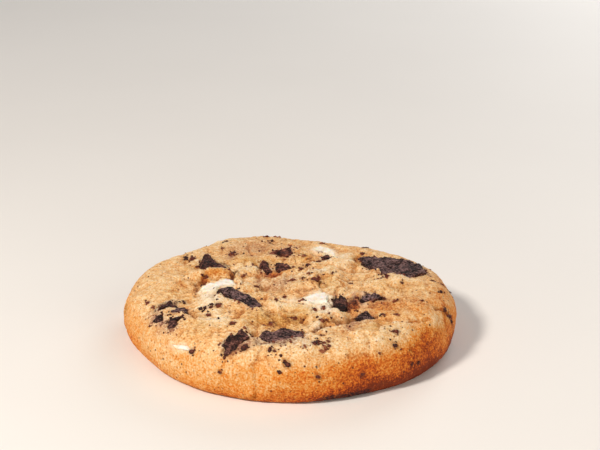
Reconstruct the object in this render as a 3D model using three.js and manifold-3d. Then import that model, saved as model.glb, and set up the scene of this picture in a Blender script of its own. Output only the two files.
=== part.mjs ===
// A soft-baked cookies and cream cookie: one thick round of golden dough with broken chocolate
// wafers and pieces of white cream baked into its top. Each wafer and cream piece is a solid of its
// own, set in a pocket of the dough with a fine gap round it. The dark crumbs are fused to the dough.
// Millimetres, +Z up, origin at the centre of the flat base. -Y is the side nearest the viewer.

import * as THREE from "three";
import { mergeVertices } from "three/addons/utils/BufferGeometryUtils.js";
import Module from "manifold-3d";

const wasm = await Module();
wasm.setup();
const { clamp, degToRad, lerp, smoothstep } = THREE.MathUtils;

// ---------------------------------------------------------------- driving dimensions, millimetres

// The rim's radius every 22.5 degrees, anticlockwise from +X, and the top's height near the rim
// every 45 degrees: a hand-scooped cookie spreads unevenly.
const RIM_RADII = [
  44.7, 44.5, 41.8, 39.6, 41.3, 43.6, 41.6, 44.9, 44.7, 42.2, 41.8, 41.6, 41.8, 41.6, 43.2, 44.3,
];
const MEAN_RADIUS = 42.5;
const RIM_HEIGHTS = [15.2, 13.8, 13.7, 14.8, 13.9, 14.6, 14.4, 14.4];
const CENTRE_HEIGHT = 14.2;
const CENTRE_GIVES_WAY = [0.25, 0.75]; // to the rim's heights, between these shares of the radius
const WIDEST_HEIGHT = 5; // where the side bulges most
const SHOULDER = 11; // how far in from the rim the top begins to turn down
const BASE_INSET = 3; // how far the flat base stops short of the rim
const ROUNDNESS = 2.5; // power of the rim's superellipse: 2 is a circle's arc

// Swellings and hollows of the top: centre x, y, half length, half width, turn in degrees, height.
const SWELLINGS = [
  [-20, 7.5, 5.5, 2.8, 6, 1.2], // fold at the left
  [-19, -10, 6, 9, 12, 1.6], // mound that carries the leaning wafer
  [-15, -24, 7, 4.5, 10, 0.9],
  [3, 7, 6, 5, 20, 0.9], // smooth mound behind the centre
  [-5, -14, 6, 4, 0, 0.8],
  [26, 1, 8, 3.2, -4, 0.9], // ridge at the right
  [8.5, -20, 3.6, 5.5, -15, 1.5], // pale mound before the centre
  [15, -3, 2.2, 6, 10, 0.6],
  [24, -28.5, 8, 3, 28, 0.9], // pale ridge at the front right
  [27, -15, 5, 4.5, 20, 0.8],
  [-10, 30, 9, 4, 0, 0.8], // hump of the back rim
  [-13, 18, 3.5, 3, 0, 0.5],
  [1, -36, 14, 2.6, 3, 0.6], // front roll
  [-35, 6, 5, 9, 0, 0.5],
  [-31, -4, 3, 3, 0, 0.5],
  [12, 16, 5, 3, 20, 0.6],
];
const HOLLOWS = [
  [-4, 1, 4.5, 5, 25, 1.5], // grey hollow beside the leaning wafer
  [-12, 6, 2.4, 4.5, 20, 1.1],
  [13.4, -11, 2.4, 4.6, 8, 2.2], // cup that holds the centre wafer
  [-4, -24.5, 6, 2.6, 0, 1.3],
  [18, -20, 3.4, 3.4, 30, 1.4],
  [3, 17, 4, 3, 0, 0.8],
  [17, 12, 3, 3, 0, 0.7],
  [34, -4, 4, 6, 0, 0.4],
  [-27, -9, 3, 3, 0, 0.5],
  [0, -3, 3, 2.5, 0, 0.5],
];

// Creases between the lobes: depth, half width, then the points they pass.
const CREASES = [
  [1.6, 1.1, [-9, -30], [1, -29], [6, -28.6], [10, -26], [14, -21.5], [18, -18], [21, -18]],
  [1.5, 0.7, [-16.4, 11.4], [-15.2, 8], [-15, 4.4], [-14, 1]],
  [1.0, 0.9, [-22.6, 6.4], [-24.4, 2], [-25, -2], [-24.4, -6]],
  [1.0, 0.6, [-27.4, -12], [-26, -17], [-23.6, -21.4]],
  [0.9, 0.8, [-9, -14], [-3, -17.5], [2, -19], [4, -24]],
  [0.9, 0.7, [38.6, -13.2], [40.6, -11.4], [43, -9.2]],
  [0.7, 0.6, [42, -11], [41, -16], [38, -21], [34, -25]],
  [0.8, 0.7, [-8.6, 15], [-9.4, 9], [-8.6, 4]],
  [0.7, 0.7, [19, 20], [18, 13], [21, 9]],
  [0.6, 0.6, [26.8, -22.8], [31, -22], [36, -18.6]],
];

// Overlapping folds: height, edge width, reach, then the points of the edge. The dough to the left
// of the line stands higher, steep at the edge and sinking back over the reach.
const FOLDS = [
  [1.1, 0.5, 4.5, [-15, 12], [-15.2, 7], [-15.8, 4.6], [-19, 4], [-23, 4.6]],
  [1.0, 0.6, 5.0, [30, -21.4], [26, -23.6], [23.6, -25.4], [21.6, -28.2], [17, -29.4], [14.6, -31.6]],
  [0.9, 0.7, 4.0, [4, -11.6], [0, -9.4], [-6, -7], [-9, -2.6]],
  [0.7, 0.5, 3.0, [8.2, -5], [8, 2], [8.6, 9]],
  [0.7, 0.5, 3.0, [13.4, -3], [14.2, 3], [13.4, 10]],
  [0.6, 0.5, 3.0, [-24, -22], [-26.4, -17], [-27.6, -11.6]],
  [0.8, 0.6, 3.5, [17.6, -15], [18.4, -10], [22, -9.6], [26, -8.6]],
];

// Lumpy relief all over, by wavelength and height, and wrinkles that wander between the lumps.
// Both are calmer towards the rim.
const LUMPS = [
  { wavelength: 9, height: 0.7, seed: 11 },
  { wavelength: 4.2, height: 0.75, seed: 23 },
  { wavelength: 2.3, height: 0.4, seed: 29 },
];
const WRINKLES = [
  { wavelength: 8.5, width: 0.1, depth: 0.75, seed: 51 },
  { wavelength: 5.2, width: 0.11, depth: 0.5, seed: 67 },
];
const WANDER = [
  { wavelength: 3.1, reach: 0.9, seeds: [71, 72] },
  { wavelength: 1.1, reach: 0.35, seeds: [73, 74] },
];
const WRINKLED_PATCHES = { wavelength: 13, from: -0.35, to: 0.45 };
const RIM_CALM = { share: 0.35, from: 0.6, to: 0.95 }; // what is left of the relief out at the rim
const SIDE_WOBBLE = { wavelength: 7, height: 0.45, seed: 37, from: 0.85, to: 0.98 };

// Broken pieces: corners in plan, anticlockwise, then thickness, how far the top stands proud of the
// dough round it, and its tilt in degrees about X and Y from the dough's own slope.
const WAFERS = [
  {
    name: "wafer_back_right",
    corners: [
      [18.8, 19.1], [19.9, 14], [21.8, 10.1], [23.9, 8.2], [25.7, 4.6], [28.2, 5.3], [29.6, 2.8],
      [32.1, 2.4], [34.1, 4.6], [37.5, 6.3], [36.3, 11.8], [33, 15.3], [28.1, 17.9], [23.4, 18.7],
    ],
    thickness: 4,
    proud: 0.8,
    tilt: [3, -2],
  },
  {
    name: "wafer_back_left",
    corners: [
      [-24.8, 10.5], [-22.9, 9.6], [-20.8, 8.8], [-18.8, 8.8], [-16.5, 8.8], [-17, 11.4],
      [-18.6, 12.7], [-20.1, 14.6], [-21.5, 17.3], [-22.9, 19.4], [-24.1, 19.2], [-24.5, 16.1],
      [-24.8, 13.3],
    ],
    thickness: 4,
    proud: 0.9,
    tilt: [10, 3],
  },
  {
    name: "wafer_leaning",
    corners: [
      [-19.4, -6.8], [-17.5, -9.9], [-15.7, -11.7], [-13.4, -12.9], [-11.3, -14.6], [-8.3, -16.8],
      [-7.4, -13.2], [-8.7, -10], [-11.2, -7.8], [-13.4, -6.8], [-15.1, -5.6], [-17, -5.5],
    ],
    thickness: 4,
    proud: 1,
    tilt: [9, 3],
  },
  {
    name: "wafer_front_left",
    corners: [
      [-17.7, -34.5], [-16.8, -35.8], [-17.3, -37.1], [-15.7, -37.7], [-13.9, -37], [-12.9, -36.1],
      [-12, -34.7], [-11.7, -34.3], [-10.6, -33.9], [-9.8, -32.9], [-10.6, -31.4], [-12, -30.1],
      [-13.6, -31.4], [-15.5, -31.4],
    ],
    thickness: 4,
    proud: 0.8,
    tilt: [6, 0],
  },
  {
    name: "wafer_front",
    corners: [
      [-8.2, -32.2], [-7, -33.7], [-5.2, -34.6], [-3.5, -34.2], [-1.7, -34.8], [0.4, -34.1],
      [2.1, -33.4], [4, -32.6], [3.1, -30.1], [1.2, -28.7], [-0.5, -27], [-2.6, -26.7], [-4.6, -28.6],
      [-7.3, -27.1],
    ],
    thickness: 3.5,
    proud: 0.7,
    tilt: [4, 0],
  },
  {
    name: "wafer_left_upper",
    corners: [
      [-34.2, -14.7], [-32.6, -14.2], [-31.3, -13.1], [-29.3, -11.8], [-30.2, -10.2], [-31.5, -9.1],
      [-32.9, -11], [-33.7, -12.6],
    ],
    thickness: 3,
    proud: 0.6,
    tilt: [0, 0],
  },
  {
    name: "wafer_left_bar",
    corners: [
      [-31.2, -15.9], [-29.2, -16.3], [-27.7, -17], [-26.5, -15.5], [-26.2, -13.4], [-27.3, -12.1],
      [-28.8, -12.8], [-30.2, -13.6], [-30.9, -14.6],
    ],
    thickness: 3,
    proud: 0.7,
    tilt: [16, -6],
  },
  {
    name: "wafer_left_middle",
    corners: [
      [-32.6, -20.1], [-31.8, -21.8], [-32.2, -23.3], [-30.3, -24.3], [-28.8, -23.4], [-28.9, -21.9],
      [-28.2, -21.3], [-26.9, -20.4], [-28.3, -19.2], [-29.8, -19.5], [-31.3, -19.7],
    ],
    thickness: 3.5,
    proud: 0.6,
    tilt: [4, 0],
  },
  {
    name: "wafer_left_lower",
    corners: [
      [-36.7, -17.5], [-35.1, -19], [-33.2, -19.6], [-33, -18.1], [-33.1, -17], [-33.5, -15.8],
      [-34.7, -15.8], [-35.8, -16.5],
    ],
    thickness: 3,
    proud: 0.5,
    tilt: [4, 0],
  },
  {
    name: "wafer_centre",
    corners: [
      [11.3, -9.1], [11, -11.1], [11.8, -12.1], [12.3, -13.3], [14.3, -14.6], [15.6, -12.5],
      [14.9, -11.5], [15.1, -10.7], [14.8, -8.9], [13.3, -7.3], [12.8, -9.1], [12.1, -7.9],
    ],
    thickness: 4,
    proud: 0.7,
    tilt: [8, 4],
  },
  {
    name: "wafer_right",
    corners: [
      [17.8, -11.7], [20.1, -11.5], [21.7, -11.3], [23.8, -10.8], [25, -9.2], [22.7, -8.3],
      [20.1, -8.5], [19, -10],
    ],
    thickness: 3,
    proud: 0.6,
    tilt: [6, 0],
  },
  {
    name: "wafer_middle_left",
    corners: [
      [-8.7, 14.4], [-7.7, 11.4], [-6.5, 9.1], [-5.1, 10.2], [-5.2, 12.8], [-6, 15], [-7.6, 17.2],
    ],
    thickness: 3,
    proud: 0.7,
    tilt: [6, 0],
  },
  {
    name: "wafer_middle_right",
    corners: [
      [-4.1, 14.8], [-4.2, 11.1], [-3.4, 9.4], [-1.9, 8.9], [0.1, 8.6], [0.6, 11.2], [-0.7, 12.7],
      [-1.6, 15], [-3.4, 15.5],
    ],
    thickness: 3,
    proud: 0.7,
    tilt: [6, 0],
  },
  {
    name: "wafer_back",
    corners: [
      [-5.8, 21], [-3.9, 19.9], [-2.5, 19.7], [-0, 19.2], [1.1, 21.5], [0.5, 25], [-1.2, 23.7],
      [-2.4, 23.9], [-3.9, 22.3],
    ],
    thickness: 3,
    proud: 0.5,
    tilt: [4, 0],
  },
  {
    name: "wafer_beside_cream",
    corners: [[8.3, 19.9], [9.3, 17.8], [10.5, 15.8], [11.7, 18.1], [10.7, 21.3], [9.2, 21.3]],
    thickness: 3,
    proud: 0.7,
    tilt: [6, 0],
  },
  {
    name: "wafer_front_right",
    corners: [
      [16.1, -16.9], [17.3, -18.5], [19.3, -19.4], [21.1, -20], [21.8, -18.4], [20.6, -15.8],
      [18.8, -15.2], [17.5, -16.1],
    ],
    thickness: 3,
    proud: 0.2,
    tilt: [4, 0],
  },
];
const CREAMS = [
  {
    name: "cream_left",
    corners: [
      [-24, -3], [-23.5, -5], [-21, -5], [-19.6, -3.2], [-17.5, -1], [-15, -1], [-15, 2], [-17, 3],
      [-19.5, 1.6], [-22, 0],
    ],
    thickness: 3,
    proud: 0.8,
    tilt: [6, 0],
  },
  {
    name: "cream_centre",
    corners: [
      [3.5, -8.5], [4.5, -11.5], [8, -11.5], [10, -12], [10.3, -9], [10.5, -6.2], [9.5, -5], [7, -5.5],
    ],
    thickness: 3,
    proud: 0.6,
    tilt: [4, 0],
  },
  {
    name: "cream_back",
    corners: [[6.5, 26], [7.5, 24.2], [9.5, 24.4], [12, 22.5], [14, 21], [13, 24], [11, 26.5], [8.5, 28]],
    thickness: 3,
    proud: 0.5,
    tilt: [2, 0],
  },
  {
    name: "cream_front_left",
    corners: [[-30.8, -27.5], [-29.8, -29.2], [-25.2, -31.8], [-25.8, -30]],
    thickness: 2.5,
    proud: 1.5,
    tilt: [0, 0],
  },
];
const POCKET_GAP = 0.35; // clear space between a piece and its pocket

// Dark crumbs: centre x, y and size.
const CRUMBS = [
  [-37.5, -8.6, 1.5], [-22.1, -15.4, 1.9], [-20.5, -15.6, 1.2], [-14.2, -25.8, 1.2], [-24.7, -32, 1.7],
  [-11.2, -35.8, 2.1], [-0.7, -40.5, 2.1], [-1.3, -39.9, 1.1], [-17.5, -37.8, 1.2], [-6.6, -25.2, 1.2],
  [-4.9, -23, 1.5], [3.5, -19.4, 1.2], [8.1, -23.9, 1.6], [7.8, -31, 1.1], [7, -33.8, 1.2],
  [8.4, -34.2, 1.5], [9.7, -33.3, 1.2], [8.7, -35.8, 1.3], [9.8, -35.2, 1.1], [8.1, -36.8, 1.3],
  [3.7, -36.6, 1.2], [-5, -37.4, 1.4], [-3.9, -37.7, 1.1], [6.9, -40.9, 1.5], [18.2, -37.2, 1.3],
  [26.5, -31.1, 1.7], [32.7, -28.6, 1.3], [31, -30.4, 1.1], [40.8, -10.5, 1.4], [41.9, -10.8, 1.5],
  [42.6, -10.9, 1.3], [40.4, -3.4, 1.3], [43.2, 1.6, 1.2], [41.4, 2.5, 1.1], [38.9, 1.4, 1.2],
  [30.1, -1.5, 1], [23.8, 1.3, 1.2], [20.6, 22.1, 1.6], [5.2, 13.3, 1.6], [3.1, 8.3, 1.1],
  [5.2, 5.6, 1.1], [0.8, 2.9, 1.5], [6.7, 2.5, 2], [7.7, 4.8, 1.5], [11.7, 6.3, 1.3],
  [-1.3, -5.8, 1.2], [-3.5, -11.8, 1.1], [-12.4, 7.7, 1.2], [-22.8, 5.9, 1.5], [-23.3, 1.5, 1.3],
  [-28.1, -8.4, 1.4], [-29, 19.4, 1.5], [-16.5, 22.2, 2], [-15.7, 23.4, 1.5], [-18.9, 26.1, 1.2],
  [-6.5, 34.8, 1.3], [-5.1, 30.7, 1.2], [6.5, -15.1, 1.2], [8.8, -14.7, 1.4], [24.2, -19.4, 1.4],
  [3.1, -28.1, 1.1],
];
const OUTERMOST_CRUMB = 0.93; // share of the rim's radius
const SCATTERED_CRUMBS = { count: 34, smallest: 1.1, largest: 2, seed: 5 };
const CRUMB_SUNK = 0.3; // share of a crumb's size that its centre lies below the surface
const CRUMB_CLEARANCE = 0.7; // least distance in plan from a crumb to a broken piece

// ---------------------------------------------------------------- colours

const doughFinish = new THREE.MeshStandardMaterial({ color: "#dda563", roughness: 0.85, metalness: 0 });
const waferFinish = new THREE.MeshStandardMaterial({ color: "#2c1d20", roughness: 0.8, metalness: 0 });
const creamFinish = new THREE.MeshStandardMaterial({ color: "#f6eedd", roughness: 0.6, metalness: 0 });

// ---------------------------------------------------------------- curves and noise

// A closed curve through evenly spaced values, read at an angle in radians.
function aroundRim(values, angle) {
  const n = values.length;
  const place = (((angle / (2 * Math.PI)) % 1) + 1) % 1 * n;
  const i = Math.floor(place);
  const t = place - i;
  const at = (k) => values[(i + k + n) % n];
  const [a, b, c, d] = [at(-1), at(0), at(1), at(2)];
  return b + 0.5 * t * (c - a + t * (2 * a - 5 * b + 4 * c - d + t * (3 * (b - c) + d - a)));
}

// A repeatable number from 0 to 1 for whole numbers i and j.
function chance(i, j, seed) {
  let h = (Math.imul(i, 374761393) + Math.imul(j, 668265263) + Math.imul(seed, 974711)) | 0;
  h = Math.imul(h ^ (h >>> 13), 1274126177);
  return ((h ^ (h >>> 16)) >>> 0) / 4294967295;
}

// Smooth noise from -1 to 1 that repeats nowhere near the cookie's size.
function noise(u, v, seed) {
  const i = Math.floor(u);
  const j = Math.floor(v);
  const ease = (t) => t * t * t * (t * (t * 6 - 15) + 10);
  const [s, t] = [ease(u - i), ease(v - j)];
  const near = lerp(chance(i, j, seed), chance(i + 1, j, seed), s);
  const far = lerp(chance(i, j + 1, seed), chance(i + 1, j + 1, seed), s);
  return 2 * lerp(near, far, t) - 1;
}

// ---------------------------------------------------------------- the dough's surface

// A bell-shaped swelling of height 1 with an elliptical footprint.
function swelling(x, y, [cx, cy, halfLength, halfWidth, turn]) {
  const angle = degToRad(turn);
  const along = (x - cx) * Math.cos(angle) + (y - cy) * Math.sin(angle);
  const across = (y - cy) * Math.cos(angle) - (x - cx) * Math.sin(angle);
  return Math.exp(-((along / halfLength) ** 2) - (across / halfWidth) ** 2);
}

// The nearest place on an open line through points: its distance, which side it is seen from (1 on
// the left, -1 on the right) and how far along the line it lies, from 0 to 1.
function nearestOnLine(x, y, points) {
  const legs = points.slice(1).map(([bx, by], k) => {
    const [ax, ay] = points[k];
    return { ax, ay, dx: bx - ax, dy: by - ay, length: Math.hypot(bx - ax, by - ay) };
  });
  const total = legs.reduce((sum, leg) => sum + leg.length, 0);
  let nearest = { distance: Infinity };
  let passed = 0;
  for (const { ax, ay, dx, dy, length } of legs) {
    const t = clamp(((x - ax) * dx + (y - ay) * dy) / length ** 2, 0, 1);
    const distance = Math.hypot(x - ax - t * dx, y - ay - t * dy);
    if (distance < nearest.distance) {
      const side = Math.sign(dx * (y - ay) - dy * (x - ax));
      nearest = { distance, side, along: (passed + t * length) / total };
    }
    passed += length;
  }
  return nearest;
}

// How high a fold lifts the dough at a point. It fades out at both ends of its edge.
function foldAt(x, y, [height, edge, reach, ...points]) {
  const { distance, side, along } = nearestOnLine(x, y, points);
  const ends = Math.sqrt(4 * along * (1 - along));
  const stepUp = smoothstep(side * distance, -edge, edge) - 0.25;
  return height * ends * stepUp * Math.exp(-((distance / reach) ** 2));
}

// The top's height before the rim turns it down. The forms wander a little from their plain outlines.
function crown(x, y) {
  const angle = Math.atan2(y, x);
  const share = Math.hypot(x, y) / aroundRim(RIM_RADII, angle);
  const outwards = smoothstep(share, ...CENTRE_GIVES_WAY);
  const calm = lerp(1, RIM_CALM.share, smoothstep(share, RIM_CALM.from, RIM_CALM.to));
  let [u, v] = [x, y];
  for (const { wavelength: w, reach, seeds } of WANDER) {
    u += reach * noise(x / w, y / w, seeds[0]);
    v += reach * noise(x / w, y / w, seeds[1]);
  }
  let z = lerp(CENTRE_HEIGHT, aroundRim(RIM_HEIGHTS, angle), outwards);
  for (const s of SWELLINGS) z += s[5] * swelling(u, v, s);
  for (const h of HOLLOWS) z -= h[5] * swelling(u, v, h);
  for (const [depth, halfWidth, ...points] of CREASES) {
    z -= depth * Math.exp(-((nearestOnLine(u, v, points).distance / halfWidth) ** 2));
  }
  for (const fold of FOLDS) z += foldAt(u, v, fold);
  for (const l of LUMPS) z += calm * l.height * noise(x / l.wavelength, y / l.wavelength, l.seed);
  for (const { wavelength: w, width, depth, seed } of WRINKLES) {
    const { wavelength: patch, from, to } = WRINKLED_PATCHES;
    const where = smoothstep(noise(x / patch, y / patch, seed + 1), from, to);
    z -= calm * where * depth * Math.exp(-((noise(u / w, v / w, seed) / width) ** 2));
  }
  return z;
}

// The dough's top height at a point in plan.
function heightAt(x, y) {
  const rim = aroundRim(RIM_RADII, Math.atan2(y, x));
  const u = clamp((Math.hypot(x, y) - (rim - SHOULDER)) / SHOULDER, 0, 1);
  return WIDEST_HEIGHT + (crown(x, y) - WIDEST_HEIGHT) * (1 - u ** ROUNDNESS) ** (1 / ROUNDNESS);
}

// Polar angles of the sphere that becomes the dough where one stretch gives way to the next:
// top, shoulder, underside of the rim, flat base.
const TOP_ENDS = degToRad(75);
const SHOULDER_ENDS = degToRad(137);
const UNDERCUT_ENDS = degToRad(165);
const SPHERE_DETAIL = 16;

// Where the sphere's point at an azimuth and a polar angle goes on the cookie.
function surfacePoint(azimuth, polar) {
  const rim = aroundRim(RIM_RADII, azimuth);
  const bend = 2 / ROUNDNESS;
  let r;
  let shoulderShare = 1; // how much of the top's height is left as the shoulder turns down
  let z = null;
  if (polar < TOP_ENDS) {
    r = ((rim - SHOULDER) * Math.sin(polar / 2)) / Math.sin(TOP_ENDS / 2);
  } else if (polar < SHOULDER_ENDS) {
    const a = (Math.PI / 2) * ((polar - TOP_ENDS) / (SHOULDER_ENDS - TOP_ENDS));
    r = rim - SHOULDER + SHOULDER * Math.sin(a) ** bend;
    shoulderShare = Math.cos(a) ** bend;
  } else if (polar < UNDERCUT_ENDS) {
    const a = (Math.PI / 2) * ((polar - SHOULDER_ENDS) / (UNDERCUT_ENDS - SHOULDER_ENDS));
    r = rim - BASE_INSET + BASE_INSET * Math.cos(a) ** bend;
    z = WIDEST_HEIGHT * (1 - Math.sin(a) ** bend);
  } else {
    r = ((rim - BASE_INSET) * Math.cos(polar / 2)) / Math.cos(UNDERCUT_ENDS / 2);
    z = 0;
  }
  const [x, y] = [r * Math.cos(azimuth), r * Math.sin(azimuth)];
  if (z === null) z = WIDEST_HEIGHT + (crown(x, y) - WIDEST_HEIGHT) * shoulderShare;
  const { wavelength, height, seed, from, to } = SIDE_WOBBLE;
  const onSide = smoothstep(r / rim, from, to) * Math.min(1, z / 2);
  const wobble = onSide * height * noise((azimuth * MEAN_RADIUS) / wavelength, z / wavelength, seed);
  return new THREE.Vector3(x + wobble * Math.cos(azimuth), y + wobble * Math.sin(azimuth), z);
}

// ---------------------------------------------------------------- solids

function toSolid(geometry) {
  const bare = new THREE.BufferGeometry();
  bare.setAttribute("position", geometry.getAttribute("position"));
  if (geometry.index) bare.setIndex(geometry.index);
  const merged = mergeVertices(bare, 1e-4);
  return new wasm.Manifold(
    new wasm.Mesh({
      numProp: 3,
      vertProperties: new Float32Array(merged.attributes.position.array),
      triVerts: new Uint32Array(merged.index.array),
    }),
  );
}

function toGeometry(solid) {
  const { vertProperties, triVerts } = solid.getMesh();
  const geometry = new THREE.BufferGeometry();
  geometry.setAttribute("position", new THREE.BufferAttribute(new Float32Array(vertProperties), 3));
  geometry.setIndex(new THREE.BufferAttribute(new Uint32Array(triVerts), 1));
  geometry.computeVertexNormals();
  return geometry;
}

// The whole round of dough: an evenly faceted sphere whose points move to the cookie's surface.
function doughRound() {
  const sphere = new THREE.IcosahedronGeometry(1, SPHERE_DETAIL);
  const position = sphere.getAttribute("position");
  const p = new THREE.Vector3();
  for (let i = 0; i < position.count; i++) {
    p.fromBufferAttribute(position, i).normalize();
    const point = surfacePoint(Math.atan2(p.y, p.x), Math.acos(clamp(p.z, -1, 1)));
    position.setXYZ(i, point.x, point.y, point.z);
  }
  return toSolid(sphere);
}

// A broken piece: rings of points round its outline, ragged along the break, closed at both ends.
// Its top is at z 0. Its pocket is larger all round and open above.
const RING_POINTS = 14;
const PIECE_RINGS = [
  { depth: 0.0, inset: 0.8 },
  { depth: 0.16, inset: 0.2 },
  { depth: 0.6, inset: 0.0 },
  { depth: 1.0, inset: 0.8 },
];
const RAGGED = 0.35; // how far the break wanders in and out
const UNEVEN = 0.3; // how far the top's edge wanders up and down
const LEAST_RADIUS = 0.4; // of a ring's point
const LONGEST_MITRE = 2.5; // at a sharp corner, as a multiple of the distance widened
const POCKET_OPENS = 4; // how far a pocket's mouth reaches above the piece

// The corners, and points between them on the longest edges until a ring is full.
function ringThrough(corners) {
  const ring = [...corners];
  while (ring.length < RING_POINTS) {
    const lengths = ring.map(([ax, ay], k) => {
      const [bx, by] = ring[(k + 1) % ring.length];
      return Math.hypot(bx - ax, by - ay);
    });
    const k = lengths.indexOf(Math.max(...lengths));
    const [[ax, ay], [bx, by]] = [ring[k], ring[(k + 1) % ring.length]];
    ring.splice(k + 1, 0, [(ax + bx) / 2, (ay + by) / 2]);
  }
  return ring;
}

// A ring's point moved outwards from the middle, or inwards for a negative distance.
function moved([x, y], distance) {
  const r = Math.hypot(x, y);
  const share = Math.max(LEAST_RADIUS, r + distance) / r;
  return [x * share, y * share];
}

// The ring widened by the same distance square to its edges.
function widened(ring, distance) {
  return ring.map(([x, y], k) => {
    const [px, py] = ring[(k + ring.length - 1) % ring.length];
    const [nx, ny] = ring[(k + 1) % ring.length];
    const before = new THREE.Vector2(y - py, px - x).normalize();
    const after = new THREE.Vector2(ny - y, x - nx).normalize();
    const mitre = before.clone().add(after).divideScalar(1 + before.dot(after));
    mitre.multiplyScalar(distance).clampLength(0, LONGEST_MITRE * distance);
    return [x + mitre.x, y + mitre.y];
  });
}

// A closed stack of rings, each a list of points [x, y, z], capped at the first and the last.
function ringStack(rings) {
  const points = rings.flat();
  const faces = [];
  for (let row = 1; row < rings.length; row++) {
    for (let k = 0; k < RING_POINTS; k++) {
      const next = (k + 1) % RING_POINTS;
      const [a, b] = [(row - 1) * RING_POINTS + k, (row - 1) * RING_POINTS + next];
      const [c, d] = [row * RING_POINTS + k, row * RING_POINTS + next];
      faces.push(a, c, b, b, c, d);
    }
  }
  const top = points.length;
  const last = (rings.length - 1) * RING_POINTS;
  points.push([0, 0, rings[0][0][2]], [0, 0, rings.at(-1)[0][2]]);
  for (let k = 0; k < RING_POINTS; k++) {
    const next = (k + 1) % RING_POINTS;
    faces.push(top, k, next, top + 1, last + next, last + k);
  }
  const geometry = new THREE.BufferGeometry();
  geometry.setAttribute("position", new THREE.Float32BufferAttribute(points.flat(), 3));
  geometry.setIndex(faces);
  return geometry;
}

function brokenPiece(ring, thickness, seed) {
  const rings = PIECE_RINGS.map(({ depth, inset }, row) =>
    ring.map((point, k) => {
      const [x, y] = moved(point, RAGGED * (chance(k, row, seed) - 0.5) - inset);
      const uneven = depth < 0.5 ? UNEVEN * (chance(k, row + 7, seed) - 0.5) : 0;
      return [x, y, uneven - depth * thickness];
    }),
  );
  return ringStack(rings);
}

function pocketFor(ring, thickness) {
  const wide = widened(ring, POCKET_GAP + RAGGED / 2);
  const [, , belly, foot] = PIECE_RINGS;
  const rings = [
    wide.map(([x, y]) => [x, y, POCKET_OPENS]),
    wide.map(([x, y]) => [x, y, -belly.depth * thickness]),
    wide.map((point) => [...moved(point, -foot.inset / 2), -thickness - POCKET_GAP]),
  ];
  return ringStack(rings);
}

// The middle of a piece's corners, and its corners measured from there.
function centred(corners) {
  const mean = (axis) => corners.reduce((sum, c) => sum + c[axis], 0) / corners.length;
  const [x, y] = [mean(0), mean(1)];
  return { x, y, local: corners.map(([cx, cy]) => [cx - x, cy - y]) };
}

const SEAT_SHARE = 0.7; // of a piece's reach, where the dough round it is felt

// The dough's mean height and slope round a place, read on a circle of that radius.
function seat(x, y, radius) {
  const samples = 16;
  let [height, slopeX, slopeY] = [0, 0, 0];
  for (let k = 0; k < samples; k++) {
    const angle = (2 * Math.PI * k) / samples;
    const z = heightAt(x + radius * Math.cos(angle), y + radius * Math.sin(angle));
    height += z / samples;
    slopeX += (2 * z * Math.cos(angle)) / (samples * radius);
    slopeY += (2 * z * Math.sin(angle)) / (samples * radius);
  }
  return { height, normal: new THREE.Vector3(-slopeX, -slopeY, 1).normalize() };
}

// A named mesh for a piece, lying along the dough's slope, and the pocket that it needs in the dough.
function setPiece({ name, corners, thickness, proud, tilt }, seed, finish) {
  const { x, y, local } = centred(corners);
  const ring = ringThrough(local);
  const reach = Math.max(...local.map(([cx, cy]) => Math.hypot(cx, cy)));
  const { height, normal } = seat(x, y, SEAT_SHARE * reach);
  const lean = new THREE.Euler(degToRad(tilt[0]), degToRad(tilt[1]), 0);
  const mesh = new THREE.Mesh(brokenPiece(ring, thickness, seed), finish);
  mesh.name = name;
  mesh.position.set(x, y, height + proud);
  mesh.quaternion.setFromUnitVectors(new THREE.Vector3(0, 0, 1), normal);
  mesh.quaternion.multiply(new THREE.Quaternion().setFromEuler(lean));
  mesh.updateMatrix();
  const pocket = toSolid(pocketFor(ring, thickness).applyMatrix4(mesh.matrix));
  return { mesh, pocket, outline: [...corners, corners[0]] };
}

// ---------------------------------------------------------------- assembly

const pieces = [
  ...WAFERS.map((w, k) => setPiece(w, 101 + k, waferFinish)),
  ...CREAMS.map((c, k) => setPiece(c, 201 + k, creamFinish)),
];

// Whether a crumb keeps off every piece's edge. A crumb inside a pocket is cut away with it.
function clearOfPieces([x, y, size]) {
  const least = size / 2 + CRUMB_CLEARANCE;
  return pieces.every(({ outline }) => nearestOnLine(x, y, outline).distance > least);
}

// Crumbs strewn over the rest of the top and the shoulder, spread evenly by a seeded rule.
function scatteredCrumbs() {
  const { count, smallest, largest, seed } = SCATTERED_CRUMBS;
  const goldenAngle = Math.PI * (3 - Math.sqrt(5));
  return Array.from({ length: count }, (_, k) => {
    const angle = k * goldenAngle + 0.8 * chance(k, 1, seed);
    const r = OUTERMOST_CRUMB * aroundRim(RIM_RADII, angle) * Math.sqrt((k + 0.5) / count);
    const size = lerp(smallest, largest, chance(k, 2, seed) ** 2);
    return [r * Math.cos(angle), r * Math.sin(angle), size];
  });
}

function crumb([x, y, size], k) {
  const grain = new THREE.IcosahedronGeometry(size / 2, 0);
  const turn = new THREE.Euler(6 * chance(k, 3, 9), 6 * chance(k, 4, 9), 6 * chance(k, 5, 9));
  grain.applyMatrix4(new THREE.Matrix4().makeRotationFromEuler(turn));
  grain.scale(1, 0.75 + 0.25 * chance(k, 6, 9), 0.8);
  grain.translate(x, y, heightAt(x, y) - CRUMB_SUNK * 0.5 * size);
  return toSolid(grain);
}

let dough = doughRound();
const crumbs = [...CRUMBS, ...scatteredCrumbs()].filter(clearOfPieces);
for (const c of crumbs.map(crumb)) dough = dough.add(c);
for (const p of pieces) dough = dough.subtract(p.pocket);

const cookie = new THREE.Group();
const doughMesh = new THREE.Mesh(toGeometry(dough), doughFinish);
doughMesh.name = "dough";
cookie.add(doughMesh, ...pieces.map((p) => p.mesh));

export default cookie;
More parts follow.
